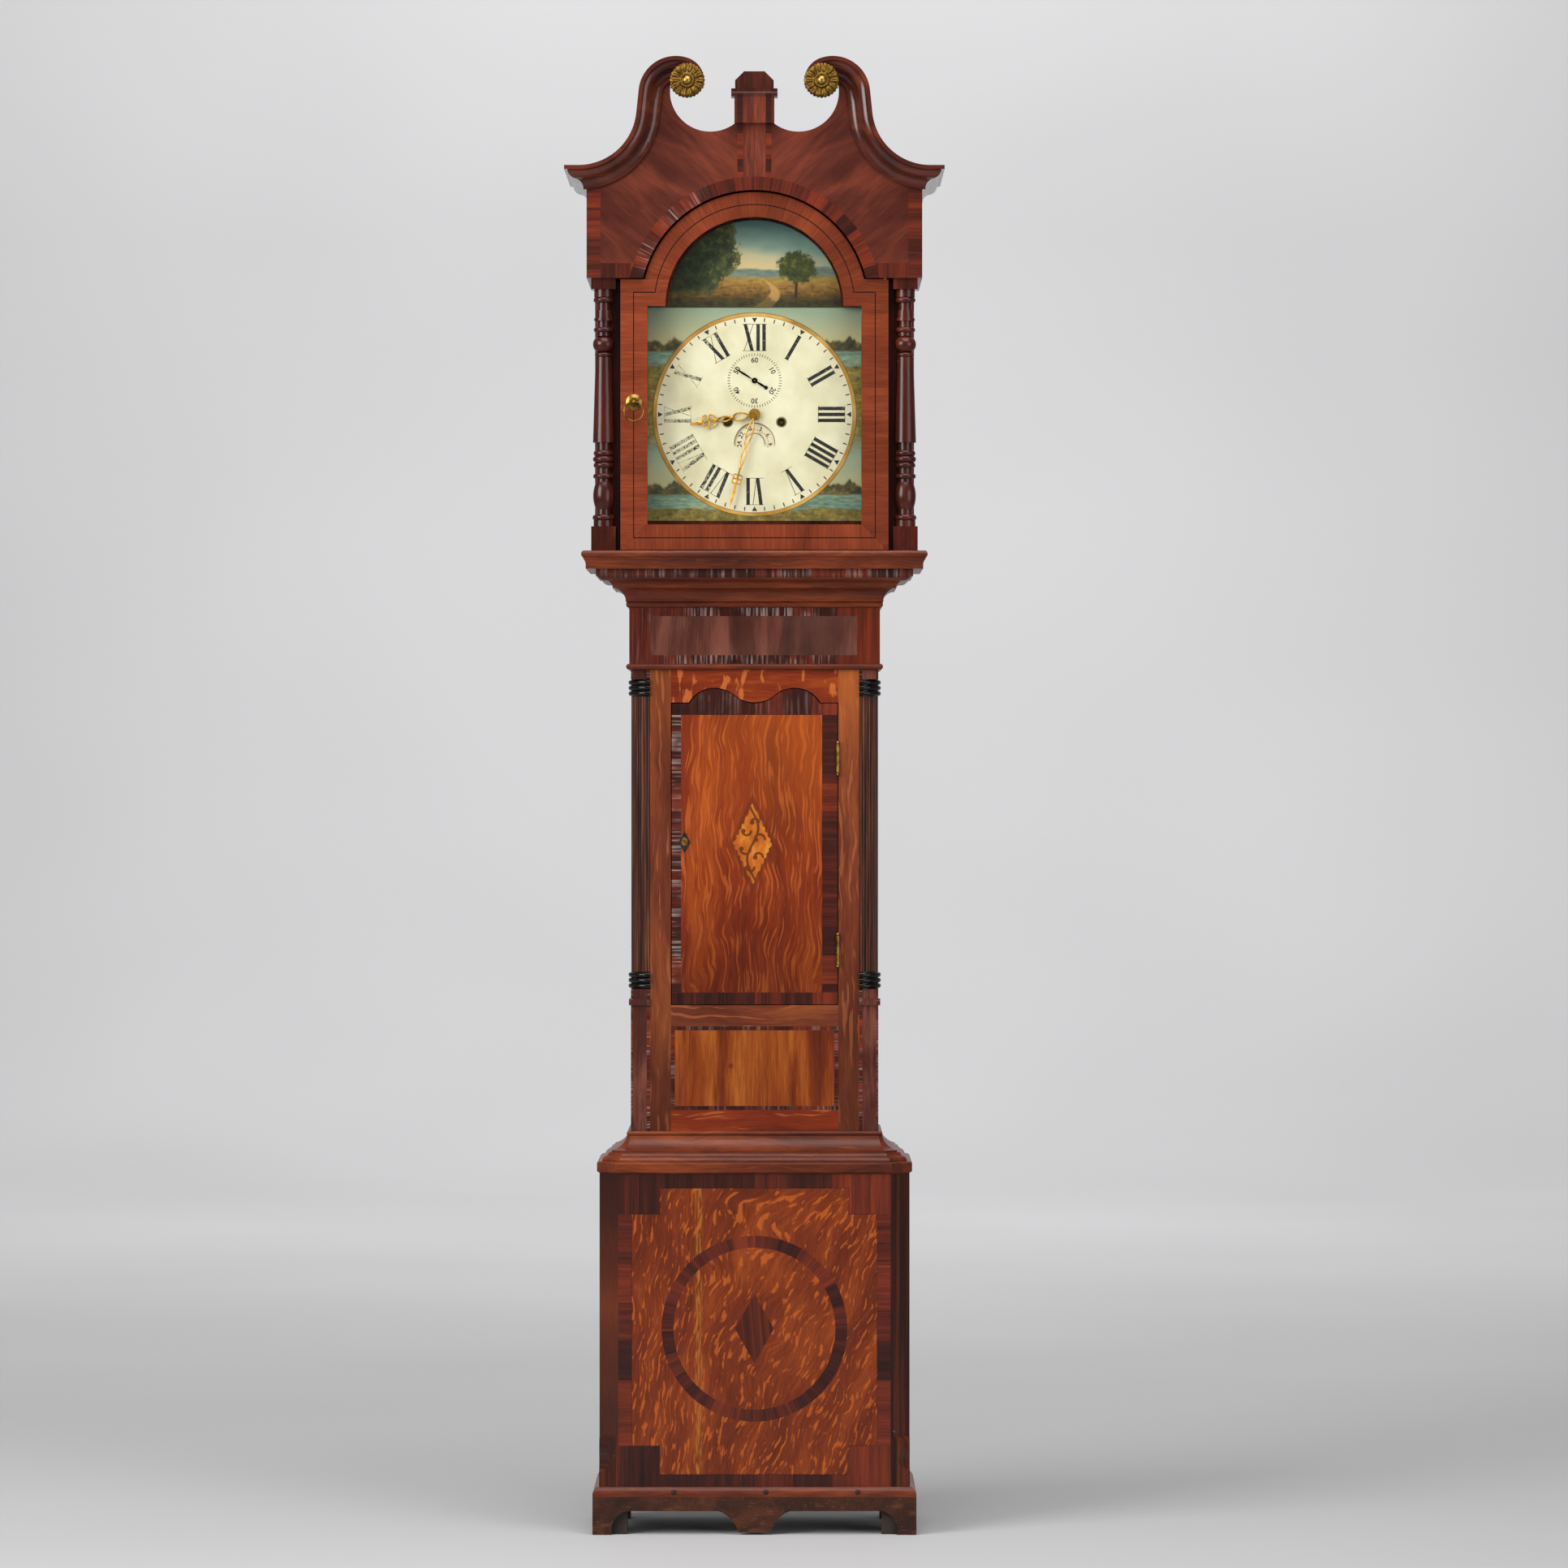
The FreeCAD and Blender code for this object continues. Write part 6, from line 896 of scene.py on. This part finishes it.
def ring(tree, unit, count, radius, chosen=None):
    # copies of a unit spaced evenly round a circle, each turned to face out
    circle = sprout(tree, "MeshCircle", {"Vertices": count, "Radius": radius})
    index = sprout(tree, "InputIndex", {})
    angle = sum2(tree, "DIVIDE", sum2(tree, "MULTIPLY", index, 2 * math.pi), count)
    put = {"Points": circle, "Instance": unit, "Rotation": sprout(tree, "ShaderNodeCombineXYZ", {2: angle})}
    if chosen is not None:
        put["Selection"] = chosen(index)
    return sprout(tree, "InstanceOnPoints", put)


def moved(tree, shape, shift, spin=0.0, scale=(1, 1, 1)):
    return sprout(tree, "Transform", {0: shape, "Translation": shift, "Rotation": (0, 0, spin), "Scale": scale})


def stood(tree, shape, place):  # turn a flat shape up to face the front at a place
    return sprout(tree, "Transform", {0: shape, "Translation": place, "Rotation": (math.pi / 2, 0, 0)})


def together(tree, *shapes):
    join = tree.nodes.new("GeometryNodeJoinGeometry")
    for shape in shapes:
        tree.links.new(shape, join.inputs[0])
    return join.outputs[0]


def ball(tree, radius, segments, rings):
    return sprout(tree, "MeshUVSphere", {"Segments": segments, "Rings": rings, "Radius": radius})


def tick(tree, long, wide):
    return sprout(tree, "MeshGrid", {"Size X": long, "Size Y": wide, "Vertices X": 2, "Vertices Y": 2})


def minuteTrack():
    spec = {"radius": 0.1484, "dash": (0.0062, 0.0018), "marks": 0.1486, "wedge": 0.0050}

    def make(tree, given):
        def between(index):
            return sum2(tree, "GREATER_THAN", sum2(tree, "MODULO", index, 5), 0.5)
        dashes = ring(tree, tick(tree, *spec["dash"]), given["Minutes"], given["Radius"], between)
        wedge = sprout(tree, "MeshCircle", {"Vertices": 3, "Radius": spec["wedge"]}, fill_type="NGON")
        inward = moved(tree, wedge, (0, 0, 0), math.pi)
        marks = ring(tree, inward, given["Hours"], given["Mark Radius"])
        return stood(tree, together(tree, dashes, marks), (0, dialFront - paintLift, dialMiddle))
    inputs = {"Minutes": 60, "Radius": spec["radius"], "Hours": 12, "Mark Radius": spec["marks"]}
    grown("minuteTrack", make, inputs, inkFine, "case")


def secondsTrack():
    spec = {"radius": 0.0405, "dash": (0.0042, 0.0010), "rise": 0.053, "digits": 0.0316, "size": 0.0112}
    words = ["60", "10", "20", "30", "40", "50"]
    middle = (0, dialFront - paintLift, dialMiddle + spec["rise"])

    def make(tree, given):
        dashes = ring(tree, tick(tree, *spec["dash"]), given["Seconds"], given["Radius"])
        return stood(tree, dashes, middle)
    grown("secondsTrack", make, {"Seconds": 60, "Radius": spec["radius"]}, inkFine, "case")
    digits("secondsFigures", words, spec["digits"], spec["size"], middle, "case")


def digits(name, words, radius, size, middle, body):
    # plain figures round a circle, upright at the top and feet to the middle
    shape = bmesh.new()
    stand = Matrix.Translation(middle) @ Matrix.Rotation(math.pi / 2, 4, "X")
    for index, word in enumerate(words):
        curve = bpy.data.curves.new(name, "FONT")
        curve.body = word
        curve.size = size
        curve.align_x = "CENTER"
        curve.align_y = "CENTER"
        curve.resolution_u = 3
        curve.offset = size * 0.02
        holder = placed(name, curve)
        mesh = plainMesh(holder)
        bpy.data.objects.remove(holder)
        turn = Matrix.Rotation(-2 * math.pi * index / len(words), 4, "Z")
        mesh.transform(stand @ turn @ Matrix.Translation((0, radius, 0)))
        shape.from_mesh(mesh)
    whole = bpy.data.meshes.new(name)
    shape.to_mesh(whole)
    shape.free()
    whole.materials.clear()
    whole.materials.append(inkFine)
    for face in whole.polygons:
        face.material_index = 0
    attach(placed(name, whole), body)


def hourNumerals():
    spec = {"foot": 0.0992, "tall": 0.0424, "thick": 0.0055, "thin": 0.0010, "gap": 0.0038, "wide": 0.0165,
            "serif": 0.0007, "lip": 0.0014}
    words = ["XII", "I", "II", "III", "IIII", "V", "VI", "VII", "VIII", "IX", "X", "XI"]
    tall, thick, thin, wide = spec["tall"], spec["thick"], spec["thin"], spec["wide"]
    lip, serif = spec["lip"], spec["serif"]

    def leaning(low, high, width):
        return [(low - width / 2, 0), (low + width / 2, 0), (high + width / 2, tall), (high - width / 2, tall)]

    points, faces = [], []
    for hour, word in enumerate(words):
        strokes, left = [], 0.0
        for letter in word:
            if letter == "I":
                strokes.append(leaning(left + thick / 2, left + thick / 2, thick))
            elif letter == "V":
                strokes.append(leaning(left + wide / 2, left + thick / 2, thick))
                strokes.append(leaning(left + wide / 2 + thick * 0.3, left + wide - thin, thin))
            else:
                strokes.append(leaning(left + wide - thick / 2, left + thick / 2, thick))
                strokes.append(leaning(left + thin, left + wide - thin, thin))
            left += (thick if letter == "I" else wide) + spec["gap"]
        total = left - spec["gap"]
        for low in (0.0, tall - serif):
            strokes.append([(-lip, low), (total + lip, low), (total + lip, low + serif), (-lip, low + serif)])
        turn = -math.radians(30 * hour)
        for stroke in strokes:
            faces.append(list(range(len(points), len(points) + len(stroke))))
            for across, up in stroke:
                x, z = across - total / 2, up + spec["foot"]
                points.append((x * math.cos(turn) - z * math.sin(turn), dialFront - paintLift,
                               dialMiddle + x * math.sin(turn) + z * math.cos(turn)))
    mesh = bpy.data.meshes.new("hourNumerals")
    mesh.from_pydata(points, [], faces)
    mesh.materials.append(inkBlack)
    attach(placed("hourNumerals", mesh), "case")


def dateFigures():
    spec = {"drop": 0.045, "radius": 0.0238, "size": 0.0095}
    days = [str(day) if day % 3 == 0 else "." for day in range(1, 32)]
    middle = (0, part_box("calendar_disc")[0].y - paintLift, dialMiddle - spec["drop"])
    digits("dateFigures", days, spec["radius"], spec["size"], middle, "calendar")


def plinthNails():
    spec = {"nails": 3, "from": -0.1255, "to": 0.1608, "z": 0.0665, "radius": 0.0042, "flat": 0.35}
    web = Web("nailIron")
    rust = web.noise((web.x * 700, web.y * 700, web.z * 700), 4.0)
    iron = web.finish(web.ramp(rust, [(0.3, "1a1512"), (0.7, "4a3a2c")]), rust * 0.3 + 0.4, rust, 0.0003, 0.5,
                      Metallic=0.7)
    start = (spec["from"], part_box("base_mouldings")[0].y, spec["z"])
    gap = ((spec["to"] - spec["from"]) / (spec["nails"] - 1), 0, 0)

    def make(tree, given):
        line = sprout(tree, "MeshLine", {"Count": given["Nails"], "Start Location": start, "Offset": gap})
        head = ball(tree, given["Radius"], 10, 6)
        return sprout(tree, "InstanceOnPoints", {"Points": line, "Instance": head, "Scale": (1, spec["flat"], 1)})
    grown("plinthNails", make, {"Nails": spec["nails"], "Radius": spec["radius"]}, iron, "case")


def petal(tree, spec):
    # a ball drawn out to a leaf, wider at its tip, flat below and with a cleft along its crown
    split = tree.nodes.new("ShaderNodeSeparateXYZ")
    tree.links.new(sprout(tree, "InputPosition", {}), split.inputs[0])
    u, v, w = split.outputs
    inner, outer = spec["inner"], spec["outer"]
    half = sum2(tree, "ADD", sum2(tree, "MULTIPLY", u, (outer - inner) / 2), (outer + inner) / 2)
    away = sum2(tree, "MULTIPLY", sum2(tree, "ABSOLUTE", v), 2.5)
    cleft = sum2(tree, "MAXIMUM", sum2(tree, "SUBTRACT", 1.0, away), 0.0)
    height = sum2(tree, "SUBTRACT", spec["thick"], sum2(tree, "MULTIPLY", cleft, spec["groove"]))
    crown = sum2(tree, "MULTIPLY", sum2(tree, "MAXIMUM", w, 0.0), height)
    spot = sprout(tree, "ShaderNodeCombineXYZ",
                  {0: sum2(tree, "MULTIPLY", u, spec["long"]), 1: sum2(tree, "MULTIPLY", v, half), 2: crown})
    return sprout(tree, "SetPosition", {"Geometry": ball(tree, 1.0, 16, 10), "Position": spot})


def rosetteFlowers():
    # cast daisies of grooved petals in two rows, with a beaded ring round a boss
    spec = {"petals": 14, "beads": 24, "long": 0.0086, "inner": 0.0026, "outer": 0.0050, "thick": 0.0036,
            "groove": 0.0017, "petalRing": 0.0192, "beadRing": 0.0098, "bead": 0.0014,
            "backing": (0.0245, 0.0026), "collar": (0.0118, 0.0046), "boss": 0.0064, "bossFlat": 0.58,
            "frontRow": 0.0014, "rearRow": 0.0004, "bossAt": 0.0045}
    low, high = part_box("rosettes")
    middle = (high.x - (high.z - low.z) / 2, high.y, (low.z + high.z) / 2)

    def drum(tree, radius, height):
        shape = sprout(tree, "MeshCylinder", {"Vertices": 40, "Radius": radius, "Depth": height})
        return moved(tree, shape, (0, 0, height / 2))

    def make(tree, given):
        row = ring(tree, petal(tree, spec), given["Petals"], given["Petal Ring"])
        bead = sprout(tree, "MeshIcoSphere", {"Radius": spec["bead"], "Subdivisions": 2})
        beads = ring(tree, bead, given["Beads"], given["Bead Ring"])
        boss = moved(tree, ball(tree, spec["boss"], 24, 12), (0, 0, spec["bossAt"]), 0, (1, 1, spec["bossFlat"]))
        flower = together(tree, drum(tree, *spec["backing"]), moved(tree, row, (0, 0, spec["frontRow"])),
                          moved(tree, row, (0, 0, spec["rearRow"]), math.pi / spec["petals"]),
                          drum(tree, *spec["collar"]), moved(tree, beads, (0, 0, spec["collar"][1])), boss)
        soft = sprout(tree, "SetShadeSmooth", {0: flower})
        return together(tree, *[stood(tree, soft, (side * middle[0], middle[1], middle[2])) for side in (-1, 1)])
    inputs = {"Petals": spec["petals"], "Petal Ring": spec["petalRing"], "Beads": spec["beads"],
              "Bead Ring": spec["beadRing"]}
    piece = grown("rosetteFlowers", make, inputs, rosetteBrass(), "hood")
    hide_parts("rosettes")


def handScrolls(name, node, body, turn, length, boss, weight):
    # gilt wire laid along the loops of a pierced hand, with a bead at each waist
    spec = {"wire": 0.0011, "foil": 0.0042 * weight, "foilAt": 0.71, "foilOut": 1.15, "bead": 0.0024 * weight,
            "beadFlat": 0.6, "beadsAt": (0.355, 0.59, 0.84),
            "loops": ((boss / length, 0.36, 0.0046), (0.35, 0.58, 0.0030), (0.74, 1.0, 0.0012))}

    def make(tree, given):
        curves = []
        for start, end, swell in spec["loops"]:
            for side in (-1, 1):
                bow = (side * swell * weight, (start + end) / 2 * length, 0)
                curves.append(sprout(tree, "CurveArc", {
                    "Resolution": 16, "Start": (0, start * length, 0), "Middle": bow,
                    "End": (0, end * length, 0)}, mode="POINTS"))
        away = spec["foil"] * spec["foilOut"]
        for quarter in range(4):
            hoop = sprout(tree, "CurvePrimitiveCircle",
                          {"Resolution": 18, "Radius": spec["foil"] - spec["wire"] / 2})
            angle = math.pi / 4 + quarter * math.pi / 2
            place = (away * math.cos(angle), spec["foilAt"] * length + away * math.sin(angle), 0)
            curves.append(moved(tree, hoop, place))
        section = sprout(tree, "CurvePrimitiveCircle", {"Resolution": 8, "Radius": given["Wire"]})
        parts = [sprout(tree, "CurveToMesh", {0: together(tree, *curves), 1: section, "Fill Caps": True})]
        for at in spec["beadsAt"]:
            bead = ball(tree, spec["bead"], 16, 10)
            parts.append(moved(tree, bead, (0, at * length, 0), 0, (1, 1, spec["beadFlat"])))
        soft = sprout(tree, "SetShadeSmooth", {0: together(tree, *parts)})
        spun = moved(tree, soft, (0, 0, 0), -math.radians(turn))
        return stood(tree, spun, (0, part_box(node)[0].y, dialMiddle))
    grown(name, make, {"Wire": spec["wire"]}, giltBrass, body)


def gutRuns():
    # two straight falls, and the turn under its pulley
    spec = {"thick": 0.0008, "top": 1.734, "seat": 1.640, "pulley": 0.370, "travel": 1.1, "rows": 40, "bend": 24}
    pulley, rows = spec["pulley"], spec["rows"]
    for side in ("going", "strike"):
        low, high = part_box(side + "_line")
        y = (low.y + high.y) / 2
        left, right = low.x + spec["thick"], high.x - spec["thick"]
        reach = (right - left) / 2
        for label, x, top in (("OuterFall", left, spec["top"]), ("InnerFall", right, spec["seat"])):
            path = [(x, y, pulley + (top - pulley) * i / rows) for i in range(rows + 1)]
            piece = tube(side + label, path, spec["thick"])
            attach(piece, "case")
            keep = (top - pulley - spec["travel"]) / (top - pulley)
            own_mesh(piece)
            if label == "OuterFall":
                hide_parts(side + "_line")
        turns = [math.pi * i / spec["bend"] for i in range(spec["bend"] + 1)]
        bend = [((left + right) / 2 - reach * math.cos(a), y, pulley - reach * math.sin(a)) for a in turns]
        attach(tube(side + "Turn", bend, spec["thick"]), side + "_weight")


def tube(name, path, radius, sides=8):
    points, faces = [], []
    for i, spot in enumerate(path):
        ahead = Vector(path[min(i + 1, len(path) - 1)]) - Vector(path[max(i - 1, 0)])
        across = ahead.cross(Vector((0, 1, 0))).normalized()
        for k in range(sides):
            angle = 2 * math.pi * k / sides
            out = across * radius * math.cos(angle) + Vector((0, radius * math.sin(angle), 0))
            points.append(Vector(spot) + out)
    for i in range(len(path) - 1):
        for k in range(sides):
            a, b = i * sides + k, i * sides + (k + 1) % sides
            faces.append((a, b, b + sides, a + sides))
    faces += [tuple(range(sides)), tuple(range(len(points) - sides, len(points)))]
    mesh = bpy.data.meshes.new(name)
    mesh.from_pydata(points, [], faces)
    shape = bmesh.new()
    shape.from_mesh(mesh)
    bmesh.ops.recalc_face_normals(shape, faces=shape.faces)
    shape.to_mesh(mesh)
    shape.free()
    for face in mesh.polygons:
        face.use_smooth = len(face.vertices) == 4
    mesh.materials.append(gutLine)
    return placed(name, mesh)


minuteTrack()
secondsTrack()
hourNumerals()
dateFigures()
plinthNails()
rosetteFlowers()
handScrolls("hourScrolls", "hour_hand", "hour_pipe", 261.3, 0.102, 0.009, 1.35)
handScrolls("minuteScrolls", "minute_hand", "minute_arbor", 195, 0.148, 0.007, 1.0)
gutRuns()
print("pieces done")


def studio():
    spec = {"distance": 10.0, "height": 1.168, "span": 2.428, "side": 0.046, "sensor": 36, "floor": 16.0,
            "wall": 11.5, "bend": 3.0, "top": 9.0, "steps": 12, "aim": (0, 0, 1.2), "washAim": 2.8,
            "room": "d9d9da", "roomLight": 0.3}
    front = cadBox[0][1]
    # a floor that bends up into a wall far behind
    half, wall, bend = spec["floor"], spec["wall"], spec["bend"]
    turns = [i * math.pi / 2 / spec["steps"] for i in range(spec["steps"] + 1)]
    profile = [(-half, 0.0)]
    profile += [(wall - bend + bend * math.sin(a), bend - bend * math.cos(a)) for a in turns]
    profile += [(wall, spec["top"])]
    points = [(side * half, y, z) for y, z in profile for side in (-1, 1)]
    faces = [(2 * i, 2 * i + 1, 2 * i + 3, 2 * i + 2) for i in range(len(profile) - 1)]
    mesh = bpy.data.meshes.new("backdrop")
    mesh.from_pydata(points, [], faces)
    for face in mesh.polygons:
        face.use_smooth = True
    web = Web("paleBackdrop")
    soft = web.noise((web.x * 0.4, web.y * 0.4, web.z * 0.4), 2.0)
    mesh.materials.append(web.finish(web.ramp(soft, [(0.3, "b0b0b1"), (0.7, "b8b8b9")]), 0.85))
    backdrop = placed("backdrop", mesh)
    # place, size, power and aim of each lamp
    lamps = {"leftSoft": ((-3.4, front - 3.0, 2.9), 2.6, 230, spec["aim"]),
             "topSoft": ((0.3, front - 1.2, 4.6), 3.0, 150, spec["aim"]),
             "rightFill": ((3.6, front - 3.6, 1.8), 3.0, 85, spec["aim"]),
             "wallWash": ((0.0, 6.3, 7.5), 6.0, 760, (0, wall, spec["washAim"]))}
    for name, (place, size, power, target) in lamps.items():
        light = bpy.data.lights.new(name, "AREA")
        light.size = size
        light.energy = power
        lamp = placed(name, light)
        lamp.location = place
        lamp.rotation_euler = (Vector(target) - Vector(place)).to_track_quat("-Z", "Y").to_euler()
    world = bpy.data.worlds.new("softRoom")
    scene.world = world
    world.use_nodes = True
    sky = world.node_tree.nodes["Background"]
    sky.inputs[0].default_value = tint(spec["room"])
    sky.inputs[1].default_value = spec["roomLight"]
    view = bpy.data.cameras.new("photoView")
    camera = placed("photoView", view)
    camera.location = (spec["side"], front - spec["distance"], spec["height"])
    camera.rotation_euler = (math.pi / 2, 0, 0)
    view.sensor_width = spec["sensor"]
    view.lens = spec["sensor"] * spec["distance"] / spec["span"]
    scene.camera = camera
    scene.view_settings.view_transform = "Standard"


studio()
print("stage done")
